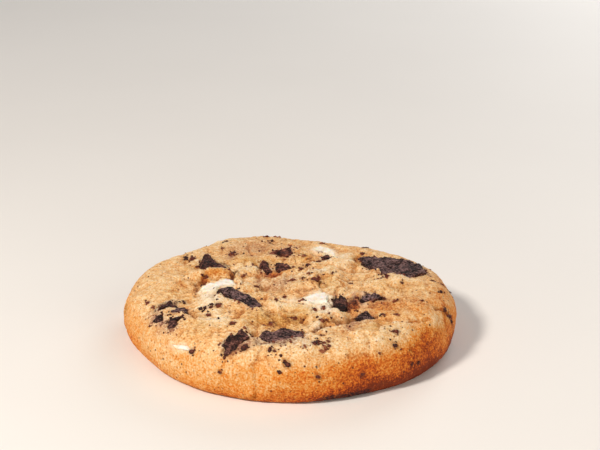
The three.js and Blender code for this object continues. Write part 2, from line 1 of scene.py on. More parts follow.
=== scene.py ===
"""A soft-baked cookies and cream cookie on a pale table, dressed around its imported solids.

Metres, +Z up, origin at the centre of the flat base. -Y is the side nearest the camera. The dough's
forms are given in millimetres, as a baker would measure them.
"""

import math

import bmesh
import bpy
import numpy as np
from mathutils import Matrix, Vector, noise
from mathutils.bvhtree import BVHTree


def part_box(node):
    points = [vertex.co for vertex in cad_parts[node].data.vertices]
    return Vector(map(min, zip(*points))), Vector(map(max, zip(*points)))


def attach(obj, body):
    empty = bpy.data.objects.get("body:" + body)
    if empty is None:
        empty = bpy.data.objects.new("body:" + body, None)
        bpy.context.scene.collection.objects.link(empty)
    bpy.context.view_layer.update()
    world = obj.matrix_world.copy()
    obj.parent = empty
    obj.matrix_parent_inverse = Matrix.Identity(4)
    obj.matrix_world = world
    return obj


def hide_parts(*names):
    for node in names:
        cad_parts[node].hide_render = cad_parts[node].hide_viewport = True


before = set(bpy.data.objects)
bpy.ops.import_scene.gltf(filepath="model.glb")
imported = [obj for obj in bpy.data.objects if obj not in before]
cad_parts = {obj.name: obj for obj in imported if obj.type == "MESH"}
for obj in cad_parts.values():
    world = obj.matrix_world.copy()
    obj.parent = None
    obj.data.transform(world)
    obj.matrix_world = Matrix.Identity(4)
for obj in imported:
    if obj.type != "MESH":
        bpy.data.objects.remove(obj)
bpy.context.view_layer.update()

# ---------------- the table, the lights and the camera
# A wide pale table top of matt lacquered board, faintly clouded. The main light stands high at the
# front left, a wide weak one at the front right and a third behind. The camera looks down on the
# cookie.
TABLE_HALF = 1.5
TABLE_COLOURS = [(0.3, "#efece8"), (0.7, "#f2efeb")]
CLOUDS_PER_METRE = 9
SKY_COLOUR = "#f3f5f8"
SKY_STRENGTH = 0.2
LIGHTS = {  # place, width, watts, colour
    "key": ((-0.38, -0.3, 0.48), 0.12, 4.1, "#fff6ec"),
    "fill": ((0.55, -0.45, 0.35), 0.6, 2.4, "#fff0de"),
    "back": ((0.3, 0.6, 0.3), 0.35, 1.6, "#ffffff"),
}
AIM = Vector((0, 0, 0.008))  # what the lights point at
CAMERA_DISTANCE = 0.45167
CAMERA_ELEVATION = math.radians(25)
LENS = 100
SENSOR = 36
PICTURE = (600, 450)
COOKIE_PIXEL = (288.8, 310.1)  # where the cookie's middle shows in the picture
COOKIE_MIDDLE = 0.007  # its height above the table


def linear(colour):
    """An sRGB hex colour as the four linear numbers that a node takes."""
    parts = [int(colour[k : k + 2], 16) / 255 for k in (1, 3, 5)]
    return (*(c / 12.92 if c <= 0.04045 else ((c + 0.055) / 1.055) ** 2.4 for c in parts), 1)


def add(tree, kind, inputs=None, stops=None, **settings):
    """Adds a node. An input takes a value, a socket, or a node for its first output.

    Stops are a ramp's positions and colours.
    """
    node = tree.nodes.new(kind)
    for name, value in settings.items():
        setattr(node, name, value)
    for name, value in (inputs or {}).items():
        if isinstance(value, bpy.types.Node):
            value = value.outputs[0]
        if isinstance(value, bpy.types.NodeSocket):
            tree.links.new(value, node.inputs[name])
        else:
            node.inputs[name].default_value = value
    if stops:
        elements = node.color_ramp.elements
        while len(elements) < len(stops):
            elements.new(1)
        for element, (position, colour) in zip(elements, stops):
            element.position = position
            element.color = linear(colour)
    return node


def show(name, data):
    """Puts data in the scene as an object at the origin."""
    thing = bpy.data.objects.new(name, data)
    bpy.context.scene.collection.objects.link(thing)
    return thing


def new_material(name, **shader_values):
    """A node material with plain values on its shader's own sockets.

    Returns it with its tree, its shader and the object coordinates that its patterns follow.
    """
    material = bpy.data.materials.new(name)
    material.use_nodes = True
    shader = material.node_tree.nodes["Principled BSDF"]
    for socket, value in shader_values.items():
        shader.inputs[socket.replace("_", " ")].default_value = value
    coords = add(material.node_tree, "ShaderNodeTexCoord").outputs["Object"]
    return material, material.node_tree, shader, coords


table_mesh = bpy.data.meshes.new("table")
corners = [(-1, -1), (1, -1), (1, 1), (-1, 1)]
table_mesh.from_pydata([(TABLE_HALF * x, TABLE_HALF * y, 0) for x, y in corners], [], [(0, 1, 2, 3)])
table_finish, tree, shader, coords = new_material("matt lacquered board", Roughness=0.6)
cloud = add(tree, "ShaderNodeTexNoise", {"Vector": coords, "Scale": CLOUDS_PER_METRE, "Detail": 3.0})
shade = add(tree, "ShaderNodeValToRGB", {"Fac": cloud}, stops=TABLE_COLOURS)
tree.links.new(shade.outputs["Color"], shader.inputs["Base Color"])
table_mesh.materials.append(table_finish)
table = show("table", table_mesh)

for name, (place, width, watts, colour) in LIGHTS.items():
    lamp = bpy.data.lights.new(name, "AREA")
    lamp.size = width
    lamp.energy = watts
    lamp.color = linear(colour)[:3]
    light = show(name, lamp)
    light.location = place
    light.rotation_euler = (AIM - Vector(place)).to_track_quat("-Z", "Y").to_euler()

world = bpy.data.worlds.new("soft sky")
world.use_nodes = True
sky = world.node_tree.nodes["Background"]
sky.inputs["Color"].default_value = linear(SKY_COLOUR)
sky.inputs["Strength"].default_value = SKY_STRENGTH
bpy.context.scene.world = world

camera_data = bpy.data.cameras.new("camera")
camera_data.lens = LENS
camera_data.sensor_width = SENSOR
camera = show("camera", camera_data)
focal_pixels = LENS / SENSOR * PICTURE[0]
below_centre = math.atan((COOKIE_PIXEL[1] - PICTURE[1] / 2) / focal_pixels)
left_of_centre = math.atan((PICTURE[0] / 2 - COOKIE_PIXEL[0]) / focal_pixels)
camera.location = (
    0,
    -CAMERA_DISTANCE * math.cos(CAMERA_ELEVATION),
    COOKIE_MIDDLE + CAMERA_DISTANCE * math.sin(CAMERA_ELEVATION),
)
camera.rotation_euler = (math.pi / 2 - CAMERA_ELEVATION + below_centre, 0, -left_of_centre)
bpy.context.scene.camera = camera
bpy.context.scene.view_settings.view_transform = "Standard"

# ---------------- the dough
# One scoop of soft butter dough, spread by the oven into a thick uneven round: smooth browned sides,
# a paler top that cracked and folded as it sank. It bakes up against every wafer and cream piece.
MM = 0.001
RIM_RADII = [
    44.7, 44.5, 41.8, 39.6, 41.3, 43.6, 41.6, 44.9, 44.7, 42.2, 41.8, 41.6, 41.8, 41.6, 43.2, 44.3,
]  # every 22.5 degrees, anticlockwise from +X
MEAN_RADIUS = 42.5
RIM_HEIGHTS = [15.2, 13.8, 13.7, 14.8, 13.9, 14.6, 14.4, 14.4]  # every 45 degrees
CENTRE_HEIGHT = 14.2
CENTRE_GIVES_WAY = (0.25, 0.75)  # to the rim's heights, in shares of the radius
WIDEST_HEIGHT = 5  # where the side stands out furthest
SHOULDER = 11  # width of the stretch that the rim turns down over
BASE_INSET = 3  # how far the foot draws in below the widest height
ROUNDNESS = 2.5  # of the rim's section: 2 is an ellipse, and more is squarer
SWELLINGS = [  # centre x, y, half length, half width, turn in degrees, height
    [-20, 7.5, 5.5, 2.8, 6, 1.2], [-19, -10, 6, 9, 12, 1.6], [-15, -24, 7, 4.5, 10, 0.9],
    [3, 7, 6, 5, 20, 0.9], [-5, -14, 6, 4, 0, 0.8], [26, 1, 8, 3.2, -4, 0.9],
    [8.5, -20, 3.6, 5.5, -15, 1.5], [15, -3, 2.2, 6, 10, 0.6], [24, -28.5, 8, 3, 28, 0.9],
    [27, -15, 5, 4.5, 20, 0.8], [-10, 30, 9, 4, 0, 0.8], [-13, 18, 3.5, 3, 0, 0.5],
    [1, -36, 14, 2.6, 3, 0.6], [-35, 6, 5, 9, 0, 0.5], [-31, -4, 3, 3, 0, 0.5], [12, 16, 5, 3, 20, 0.6],
]
HOLLOWS = [  # the same, with depths
    [-4, 1, 4.5, 5, 25, 1.5], [-12, 6, 2.4, 4.5, 20, 1.1], [13.4, -11, 2.4, 4.6, 8, 2.2],
    [-4, -24.5, 6, 2.6, 0, 1.3], [18, -20, 3.4, 3.4, 30, 1.4], [3, 17, 4, 3, 0, 0.8],
    [17, 12, 3, 3, 0, 0.7], [34, -4, 4, 6, 0, 0.4], [-27, -9, 3, 3, 0, 0.5], [0, -3, 3, 2.5, 0, 0.5],
]
CREASES = [  # depth, half width, then the points they pass
    [1.6, 1.1, [-9, -30], [1, -29], [6, -28.6], [10, -26], [14, -21.5], [18, -18], [21, -18]],
    [1.5, 0.7, [-16.4, 11.4], [-15.2, 8], [-15, 4.4], [-14, 1]],
    [1.0, 0.9, [-22.6, 6.4], [-24.4, 2], [-25, -2], [-24.4, -6]],
    [1.0, 0.6, [-27.4, -12], [-26, -17], [-23.6, -21.4]],
    [0.9, 0.8, [-9, -14], [-3, -17.5], [2, -19], [4, -24]],
    [0.9, 0.7, [38.6, -13.2], [40.6, -11.4], [43, -9.2]],
    [0.7, 0.6, [42, -11], [41, -16], [38, -21], [34, -25]],
    [0.8, 0.7, [-8.6, 15], [-9.4, 9], [-8.6, 4]],
    [0.7, 0.7, [19, 20], [18, 13], [21, 9]],
    [0.6, 0.6, [26.8, -22.8], [31, -22], [36, -18.6]],
]
FOLDS = [  # height, edge width, reach, then the points of the edge: it stands higher on the left
    [1.1, 0.5, 4.5, [-15, 12], [-15.2, 7], [-15.8, 4.6], [-19, 4], [-23, 4.6]],
    [1.0, 0.6, 5.0, [30, -21.4], [26, -23.6], [23.6, -25.4], [21.6, -28.2], [17, -29.4], [14.6, -31.6]],
    [0.9, 0.7, 4.0, [4, -11.6], [0, -9.4], [-6, -7], [-9, -2.6]],
    [0.7, 0.5, 3.0, [8.2, -5], [8, 2], [8.6, 9]],
    [0.7, 0.5, 3.0, [13.4, -3], [14.2, 3], [13.4, 10]],
    [0.6, 0.5, 3.0, [-24, -22], [-26.4, -17], [-27.6, -11.6]],
    [0.8, 0.6, 3.5, [17.6, -15], [18.4, -10], [22, -9.6], [26, -8.6]],
]
LUMPS = [[9, 0.7, 11], [4.2, 0.65, 23], [2.3, 0.3, 29]]  # wavelength, height, seed
WRINKLES = [[8.5, 0.1, 0.75, 51], [5.2, 0.11, 0.5, 67]]  # wavelength, width, depth, seed
WRINKLED_PATCHES = (13, -0.35, 0.45)  # wavelength, and the hills' heights where they start and are full
FOLD_SINK = 0.25  # share of a fold's height by which its low side sinks
WANDER = [[3.1, 0.9, 71, 72], [1.1, 0.35, 73, 74]]  # wavelength, reach, seeds
RIM_CALM = (0.35, 0.6, 0.95)  # share of the lumps left at the rim, from and to these shares of its radius
SIDE_WOBBLE = (7, 0.45, 37)  # wavelength, height, seed
SIDE_WOBBLES_FROM = (0.85, 0.98)  # shares of the rim's radius, from none to all of it
STEADY_FOOT = 2  # the wobble fades below this height
CRUMB_RELIEF = [[1.3, 0.22, 41], [0.75, 0.14, 43]]  # the crust's own grain: wavelength, height, seed
SMOOTH_SIDE = (0.5, 0.86, 0.97)  # the same for the grain left on the pan-smooth side
CRACKED_TOP = [2, -3, 27, 23, 0, 1.3]  # where the top is cracked and flaky, as a swelling
FINE_CRACKS = [  # wavelength, width, depth, seed
    [5.2, 0.07, 0.25, 85],
    [3.4, 0.12, 0.35, 81],
    [1.9, 0.16, 0.36, 83],
]
SHORT_CRUMB = [27, -14, 9, 7, 20, 1.5]  # where the crust broke into short grains, as a swelling
SHORT_CRUMB_EDGE = 0.2  # taken off that, so that it ends
SHORT_CRUMB_SIZE, SHORT_CRUMB_HEIGHT = 1.5, 0.5
CLOD_LEVEL = 0.4  # how far from its middle a grain is level with the crust, in grain sizes
SPLITS = [  # splits down the side: depth, half width, then the points they pass
    [0.45, 0.35, [-7.4, -37.4], [-8.4, -39.6], [-7.8, -41.6]],
    [0.3, 0.4, [20, -35], [17, -36.6], [14, -37]],
    [0.35, 0.35, [38, -24], [35, -26.6], [31, -29.4]],
]
CUTS = 96  # cuts along each edge of the icosahedron: 184,320 triangles, about 0.35 mm on the top
TOP_ENDS, SHOULDER_ENDS, UNDERCUT_ENDS = (math.radians(a) for a in (75, 137, 165))


def around(values, angle):
    """A closed curve through evenly spaced values, read at angles in radians."""
    values = np.array(values, float)
    place = (angle / (2 * np.pi)) % 1 * len(values)
    i = np.floor(place).astype(int)
    t = place - i
    a, b, c, d = (values[(i + k) % len(values)] for k in (-1, 0, 1, 2))
    return b + 0.5 * t * (c - a + t * (2 * a - 5 * b + 4 * c - d + t * (3 * (b - c) + d - a)))


def chance(i, j, seed):
    """A repeatable number from 0 to 1 for whole numbers i and j."""
    i, j = np.asarray(i, np.int64), np.asarray(j, np.int64)
    h = (i * 374761393 + j * 668265263 + seed * 974711) & 0xFFFFFFFF
    h = ((h ^ (h >> 13)) * 1274126177) & 0xFFFFFFFF
    return (h ^ (h >> 16)) / 0xFFFFFFFF


def hills(u, v, seed):
    """Smooth noise from -1 to 1 over the plane."""
    i, j = np.floor(u), np.floor(v)
    s, t = (f * f * f * (f * (f * 6 - 15) + 10) for f in (u - i, v - j))
    near = chance(i, j, seed) * (1 - s) + chance(i + 1, j, seed) * s
    far = chance(i, j + 1, seed) * (1 - s) + chance(i + 1, j + 1, seed) * s
    return 2 * (near * (1 - t) + far * t) - 1


def patchy(x, y, wavelength, seed, mean, swing):
    """Uneven shares about a mean."""
    return mean + swing * hills(x / wavelength, y / wavelength, seed)


def smoothstep(x, low, high):
    """0 below low, 1 above high and a smooth rise between."""
    t = np.clip((x - low) / (high - low), 0, 1)
    return t * t * (3 - 2 * t)


def calmed(share, left, low, high):
    """1 over the middle of the top, falling to what is left of a relief towards the rim."""
    return 1 + (left - 1) * smoothstep(share, low, high)


def bell(distance, width):
    """1 where the distance is 0, falling away smoothly over the width."""
    return np.exp(-((distance / width) ** 2))


def swelling(x, y, centre_x, centre_y, half_length, half_width, turn):
    """A bell of height 1 over an ellipse."""
    a = math.radians(turn)
    along = (x - centre_x) * math.cos(a) + (y - centre_y) * math.sin(a)
    across = (y - centre_y) * math.cos(a) - (x - centre_x) * math.sin(a)
    return bell(along, half_length) * bell(across, half_width)


def summed(forms, x, y):
    """Swellings that each end in a height or a share, added up."""
    return sum(height * swelling(x, y, *form) for *form, height in forms)


def nearest_on_line(x, y, points):
    """Signed distance to an open line, positive on its left, and how far along it that is, 0 to 1."""
    legs = [(a, np.subtract(b, a)) for a, b in zip(points, points[1:])]
    total = sum(np.hypot(*leg) for _, leg in legs)
    best, side, place, passed = np.full(np.shape(x), np.inf), 1.0, 0.0, 0.0
    for (ax, ay), (dx, dy) in legs:
        length = math.hypot(dx, dy)
        t = np.clip(((x - ax) * dx + (y - ay) * dy) / length**2, 0, 1)
        distance = np.hypot(x - ax - t * dx, y - ay - t * dy)
        nearer = distance < best
        best = np.where(nearer, distance, best)
        side = np.where(nearer, np.sign(dx * (y - ay) - dy * (x - ax)), side)
        place = np.where(nearer, (passed + t * length) / total, place)
        passed += length
    return best * side, place


def wandered(x, y, layers):
    """Points moved a little, so that plain outlines turn ragged."""
    u, v = x, y
    for wavelength, reach, seed_x, seed_y in layers:
        u = u + reach * hills(x / wavelength, y / wavelength, seed_x)
        v = v + reach * hills(x / wavelength, y / wavelength, seed_y)
    return u, v


def crown(x, y):
    """The top's height before the rim turns it down."""
    angle = np.arctan2(y, x)
    share = np.hypot(x, y) / around(RIM_RADII, angle)
    outwards = smoothstep(share, *CENTRE_GIVES_WAY)
    calm = calmed(share, *RIM_CALM)
    u, v = wandered(x, y, WANDER)
    z = CENTRE_HEIGHT * (1 - outwards) + around(RIM_HEIGHTS, angle) * outwards
    z += summed(SWELLINGS, u, v) - summed(HOLLOWS, u, v)
    for depth, half_width, *points in CREASES:
        z -= depth * bell(nearest_on_line(u, v, points)[0], half_width)
    for height, edge, reach, *points in FOLDS:
        distance, place = nearest_on_line(u, v, points)
        ends = np.sqrt(4 * place * (1 - place))
        step_up = smoothstep(distance, -edge, edge) - FOLD_SINK
        z += height * ends * step_up * bell(distance, reach)
    for wavelength, height, seed in LUMPS:
        z += calm * height * hills(x / wavelength, y / wavelength, seed)
    patch, *filled = WRINKLED_PATCHES
    for wavelength, width, depth, seed in WRINKLES:
        where = smoothstep(hills(x / patch, y / patch, seed + 1), *filled)
        z -= calm * where * depth * bell(hills(u / wavelength, v / wavelength, seed), width)
    return z


def cut_icosahedron(cuts):
    """Unit points and triangles of an icosahedron with every face cut into even triangles."""
    g = (1 + math.sqrt(5)) / 2
    oblong = [(a, b) for a in (-1, 1) for b in (-g, g)]
    corners = np.array(
        [(a, b, 0) for a, b in oblong] + [(0, a, b) for a, b in oblong] + [(b, 0, a) for a, b in oblong]
    )
    edge = 2
    gap = np.linalg.norm(corners[:, None] - corners[None], axis=2)
    faces = [
        (i, j, k)
        for i in range(12)
        for j in range(i + 1, 12)
        for k in range(j + 1, 12)
        if max(gap[i, j], gap[j, k], gap[i, k]) < edge * 1.01
    ]
    steps = np.array([(i, j) for i in range(cuts + 1) for j in range(cuts + 1 - i)])
    number = {(i, j): k for k, (i, j) in enumerate(steps.tolist())}
    small = []
    for i, j in steps.tolist():
        if i + j < cuts:
            small.append((number[i, j], number[i + 1, j], number[i, j + 1]))
        if i + j < cuts - 1:
            small.append((number[i + 1, j], number[i + 1, j + 1], number[i, j + 1]))
    small = np.array(small)
    points, triangles = [], []
    for face, (i, j, k) in enumerate(faces):
        a, b, c = corners[i], corners[j], corners[k]
        outward = np.dot(np.cross(b - a, c - a), a + b + c) > 0
        share = steps / cuts
        points.append(a + share[:, :1] * (b - a) + share[:, 1:] * (c - a))
        triangles.append((small if outward else small[:, ::-1]) + face * len(steps))
    points, triangles = np.concatenate(points), np.concatenate(triangles)
    points /= np.linalg.norm(points, axis=1, keepdims=True)
    keys = (points * 1e6).round().astype(np.int64)
    _, first, inverse = np.unique(keys, axis=0, return_index=True, return_inverse=True)
    return points[first], inverse.ravel()[triangles]


def point_normals(points, triangles):
    """Outward directions at the points, from the triangles round each."""
    a, b, c = (points[triangles[:, k]] for k in range(3))
    normals = np.zeros_like(points)
    for k in range(3):
        np.add.at(normals, triangles[:, k], np.cross(b - a, c - a))
    return normals / np.linalg.norm(normals, axis=1, keepdims=True)


def grain(points, layers):
    """Heights of a fine grain at points in millimetres, from its wavelengths, heights and seeds."""
    return sum(
        height * np.array([noise.noise(Vector(p)) for p in (points / wavelength + seed).tolist()])
        for wavelength, height, seed in layers
    )


def from_clod(points, size):
    """How far each point lies from the middle of the nearest clod, in clod sizes."""
    return np.array([noise.voronoi(Vector(p))[0][0] for p in (points / size).tolist()])


unit, triangles = cut_icosahedron(CUTS)
azimuth, polar = np.arctan2(unit[:, 1], unit[:, 0]), np.arccos(np.clip(unit[:, 2], -1, 1))
rim = around(RIM_RADII, azimuth)
bend = 2 / ROUNDNESS
down = np.pi / 2 * np.clip((polar - TOP_ENDS) / (SHOULDER_ENDS - TOP_ENDS), 0, 1)
under = np.pi / 2 * np.clip((polar - SHOULDER_ENDS) / (UNDERCUT_ENDS - SHOULDER_ENDS), 0, 1)
radius = np.select(
    [polar < TOP_ENDS, polar < SHOULDER_ENDS, polar < UNDERCUT_ENDS],
    [
        (rim - SHOULDER) * np.sin(polar / 2) / math.sin(TOP_ENDS / 2),
        rim - SHOULDER + SHOULDER * np.sin(down) ** bend,
        rim - BASE_INSET + BASE_INSET * np.cos(under) ** bend,
    ],
    (rim - BASE_INSET) * np.cos(polar / 2) / math.cos(UNDERCUT_ENDS / 2),
)
x, y = radius * np.cos(azimuth), radius * np.sin(azimuth)
z = np.select(
    [polar < SHOULDER_ENDS, polar < UNDERCUT_ENDS],
    [WIDEST_HEIGHT + (crown(x, y) - WIDEST_HEIGHT) * np.cos(down) ** bend,
     WIDEST_HEIGHT * (1 - np.sin(under) ** bend)],
    0.0,
)
wavelength, wobble_height, seed = SIDE_WOBBLE
on_side = smoothstep(radius / rim, *SIDE_WOBBLES_FROM) * np.minimum(1, z / STEADY_FOOT)
wobble = on_side * wobble_height * hills(azimuth * MEAN_RADIUS / wavelength, z / wavelength, seed)
dough_points = np.stack([x + wobble * np.cos(azimuth), y + wobble * np.sin(azimuth), z], axis=1)
lift = grain(dough_points, CRUMB_RELIEF) * calmed(radius / rim, *SMOOTH_SIDE)
u, v = wandered(x, y, WANDER)
flaky = np.clip(summed([CRACKED_TOP], x, y), 0, 1)
for wavelength, width, depth, seed in FINE_CRACKS:
    lift -= flaky * depth * bell(hills(u / wavelength, v / wavelength, seed), width)
short = np.clip(summed([SHORT_CRUMB], x, y) - SHORT_CRUMB_EDGE, 0, 1)
broken = short > 0.02  # less than that can't be seen
clods = CLOD_LEVEL - from_clod(dough_points[broken], SHORT_CRUMB_SIZE)
lift[broken] += short[broken] * SHORT_CRUMB_HEIGHT * clods
for depth, half_width, *points in SPLITS:
    lift -= depth * bell(nearest_on_line(u, v, points)[0], half_width)
lift *= np.clip(z, 0, 1)  # the base stays flat
dough_points += point_normals(dough_points, triangles) * lift[:, None]

# The dough dips away under every piece and lips up a little against its edge.
LIP_HEIGHT, LIP_REACH = 0.12, 1.0
LIP_PATCHES = (1.7, 91, 0.6, 0.8)  # wavelength, seed, mean, swing
TUCK = 1.0  # how far below a piece's top the dough passes
COVERED = 0.5  # a piece's top that lies deeper than this stays covered
PROBE = 0.3  # the dough dips only where the piece covers this much on every side
NEARBY = 5  # points further than this from a piece's box aren't measured
FAR = 99.0
HIGH = 30  # above all of the cookie
PIECE_NODES = [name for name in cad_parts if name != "dough"]


def tree_of(node):
    """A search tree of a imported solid's faces, in millimetres."""
    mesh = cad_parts[node].data
    corners = np.array([v.co for v in mesh.vertices]) / MM
    return BVHTree.FromPolygons(corners.tolist(), [tuple(p.vertices) for p in mesh.polygons])


piece_trees = {node: tree_of(node) for node in PIECE_NODES}
from_piece = np.full(len(dough_points), FAR)  # distance to the nearest wafer or cream piece
from_wafer = from_piece.copy()
from_cream = from_piece.copy()
for node, piece_tree in piece_trees.items():
    low, high = (np.array(c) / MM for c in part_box(node))
    near = np.all((dough_points > low - NEARBY) & (dough_points < high + NEARBY), axis=1)
    from_kind = from_wafer if node.startswith("wafer") else from_cream
    for k in np.flatnonzero(near):
        place = dough_points[k]
        distance = piece_tree.find_nearest(place.tolist())[3]
        from_piece[k] = min(from_piece[k], distance)
        from_kind[k] = min(from_kind[k], distance)
        hits = [
            piece_tree.ray_cast((place[0] + dx, place[1] + dy, HIGH), (0, 0, -1))[0]
            for dx, dy in ((0, 0), (PROBE, 0), (-PROBE, 0), (0, PROBE), (0, -PROBE))
        ]
        if all(hits) and low[2] < place[2] < hits[0].z + COVERED:
            dough_points[k, 2] = min(place[2], hits[0].z - TUCK)
            from_piece[k] = 0
lip = LIP_HEIGHT * bell(from_piece, LIP_REACH) * (from_piece > 0) * patchy(x, y, *LIP_PATCHES)
dough_points += point_normals(dough_points, triangles) * lip[:, None]

# Dark crumbs colour the dough round them. Their places are the ones that can be told apart, then a
# thin even scatter.
CRUMBS = [  # centre x, y, size
    [-37.5, -8.6, 1.5], [-22.1, -15.4, 1.9], [-20.5, -15.6, 1.2], [-14.2, -25.8, 1.2], [-24.7, -32, 1.7],
    [-11.2, -35.8, 2.1], [-0.7, -40.5, 2.1], [-1.3, -39.9, 1.1], [-17.5, -37.8, 1.2], [-6.6, -25.2, 1.2],
    [-4.9, -23, 1.5], [3.5, -19.4, 1.2], [8.1, -23.9, 1.6], [7.8, -31, 1.1], [7, -33.8, 1.2],
    [8.4, -34.2, 1.5], [9.7, -33.3, 1.2], [8.7, -35.8, 1.3], [9.8, -35.2, 1.1], [8.1, -36.8, 1.3],
    [3.7, -36.6, 1.2], [-5, -37.4, 1.4], [-3.9, -37.7, 1.1], [6.9, -40.9, 1.5], [18.2, -37.2, 1.3],
    [26.5, -31.1, 1.7], [32.7, -28.6, 1.3], [31, -30.4, 1.1], [40.8, -10.5, 1.4], [41.9, -10.8, 1.5],
    [42.6, -10.9, 1.3], [40.4, -3.4, 1.3], [43.2, 1.6, 1.2], [41.4, 2.5, 1.1], [38.9, 1.4, 1.2],
    [30.1, -1.5, 1], [23.8, 1.3, 1.2], [20.6, 22.1, 1.6], [5.2, 13.3, 1.6], [3.1, 8.3, 1.1],
    [5.2, 5.6, 1.1], [0.8, 2.9, 1.5], [6.7, 2.5, 2], [7.7, 4.8, 1.5], [11.7, 6.3, 1.3],
    [-1.3, -5.8, 1.2], [-3.5, -11.8, 1.1], [-12.4, 7.7, 1.2], [-22.8, 5.9, 1.5], [-23.3, 1.5, 1.3],
    [-28.1, -8.4, 1.4], [-29, 19.4, 1.5], [-16.5, 22.2, 2], [-15.7, 23.4, 1.5], [-18.9, 26.1, 1.2],
    [-6.5, 34.8, 1.3], [-5.1, 30.7, 1.2], [6.5, -15.1, 1.2], [8.8, -14.7, 1.4], [24.2, -19.4, 1.4],
    [3.1, -28.1, 1.1],
]
SCATTER_COUNT, SCATTER_SMALLEST, SCATTER_LARGEST, SCATTER_SEED = 34, 1.1, 2, 5
SCATTER_SWAY = 0.8  # how far each strays round from its even place, in radians
OUTERMOST_CRUMB = 0.93  # share of the rim's radius

k = np.arange(SCATTER_COUNT)
angle = k * math.pi * (3 - math.sqrt(5)) + SCATTER_SWAY * chance(k, 1, SCATTER_SEED)
out = OUTERMOST_CRUMB * around(RIM_RADII, angle) * np.sqrt((k + 0.5) / SCATTER_COUNT)
size = SCATTER_SMALLEST + (SCATTER_LARGEST - SCATTER_SMALLEST) * chance(k, 2, SCATTER_SEED) ** 2
scattered = np.stack([out * np.cos(angle), out * np.sin(angle), size], axis=1)
crumbs = np.concatenate([np.array(CRUMBS, float), scattered])
dough_tree = BVHTree.FromPolygons(dough_points.tolist(), triangles.tolist())

# The crust's colour follows how it baked and what lies in it, and some of it is painted shade. Each of the
# lists below makes a field, a number at every point: browning, with painted shade in some creases, the
# side's orange, gold, cocoa, cream, and dark stain with painted shade along creases and crevices.
SIDE_TOP, SIDE_FADE = 13.3, 5  # the side's colour starts at this height and is full this far below it
SIDE_EDGE = (0.78, 0.95)  # and it starts and is full at these shares of the rim's radius
TOP_BROWNING = 0.36
SIDE_BROWNING_AND_SHADE = [0.62, 0.6, 0.56, 0.54, 0.52, 0.4, 0.55, 0.75]  # every 45 degrees, at the widest height: browning, darkest at the front right and palest at the front left, partly painted shade
FOOT_BROWNING_AND_SHADE = [0.36, 0.2, 0.2, 0.2, 0.15, 0.2, 0.26, 0.4]  # more at the foot: browning from the hot pan, and painted shade low on the side
FOOT_REACH = 7  # how far up that shows
BROWNED_AND_SHADED = [  # browner or paler patches, some of them painted shade in creases: centre x, y, half length, half width, turn, change
    [-5, -21.5, 7, 4.5, 0, 0.14], [-7.2, -10, 1.4, 2.4, 0, 0.25], [1.5, -4, 4.5, 1, 5, 0.2],
    [7.2, 2, 0.9, 3.6, -8, 0.35], [13.8, 0.5, 0.7, 2.6, 0, 0.4], [11.2, 5.6, 2.2, 0.8, -20, 0.25],
    [10.8, 2, 2.6, 3.4, 0, 0.08], [2.6, 10.5, 2.2, 2.4, 0, 0.14], [-4.4, 8.4, 4.4, 1.6, 0, 0.5],
    [16.6, -12, 1.8, 3, 10, 0.6], [-1, -19.8, 1.4, 2.6, 0, 0.3], [-5.8, -24.5, 1.4, 2.4, 0, 0.4],
    [3.1, -20.6, 0.9, 1.7, -10, 0.4], [-1.6, -25.4, 0.9, 1.8, 0, 0.3], [10.2, -23.5, 1, 2.5, -30, 0.3],
    [15, -25, 2.4, 6, 0, 0.14], [2, -13.5, 9, 2.2, 3, -0.2], [8, -17, 3, 3, 0, -0.3],
    [6, -25.5, 3, 2.6, -10, -0.2], [1, -9, 4, 2.5, 0, -0.14], [1, 5.5, 5, 2, 10, -0.1],
    [-11.5, 13, 2.6, 2.2, 0, -0.22], [-19.4, 6.6, 4, 1.4, 4, 0.3], [-15.6, 6.6, 0.8, 2, 0, 0.3],
    [-23.2, 4.6, 1, 1.6, 0, 0.6], [-25.6, -2, 1.2, 5, 0, 0.3], [-29.3, 2.2, 1.3, 2.2, 0, 0.26],
    [-31.3, -2.4, 1.2, 2, 0, 0.2], [-25.3, -17, 0.9, 5.5, 8, 0.24], [-14.2, -18.8, 1.4, 3, 0, 0.22],
    [-20.5, -8, 4, 8, 5, -0.34], [-19, -21, 5, 4, 0, -0.24], [24, -14, 4.5, 4.5, 0, 0.28],
    [33, -14, 5, 4, 0, 0.2], [34.4, -23.8, 5.5, 2.8, 50, 0.2], [19, -37.6, 8, 2.2, 12, 0.14],
    [41, 4, 2, 8, 0, 0.16], [39.5, -8, 2, 5, 0, 0.26], [28, -26, 4, 3, 20, -0.1],
    [39.9, -17.8, 3, 3.5, 0, -0.14], [8.3, 8.8, 3, 2.2, 0, -0.3], [25, -20.5, 4, 2, 0, 0.12],
    [21.5, -25.5, 1.4, 4, 0, 0.1], [20, -31.6, 7, 1.6, 22, -0.1], [19, 17, 0.9, 3.6, 0, 0.3],
    [15.5, 20, 2.6, 4, 0, -0.18], [29, 1.5, 5, 3, 0, -0.14], [22.8, 9.5, 1.2, 2.4, 20, 0.3],
    [-9, 25, 8, 5, 0, 0.08], [5.6, 18.5, 0.9, 3.6, 0, 0.3], [3.6, 20.5, 1, 1.8, 0, 0.1],
    [-11.5, 17.5, 3.6, 2.4, 0, 0.12], [-14, -35.6, 2.2, 1.4, 0, 0.4], [1, -35, 14, 2.4, 2, -0.16],
]
TOP_ORANGE = 0.15
ORANGE = [  # the same, where the top took the side's orange
    [37, -17, 5, 6, 30, 0.9], [40.5, -4, 3, 8, 0, 0.7], [33, -25, 6, 3.5, 40, 1],
    [-19.4, 6.6, 4, 1.4, 4, 0.65], [-3, 8.6, 4, 1.6, 0, 0.5], [24, -14, 6, 5, 0, 0.4],
    [20, 20, 5, 3, 0, 0.4], [-28, 10, 8, 10, 0, 0.3],
]
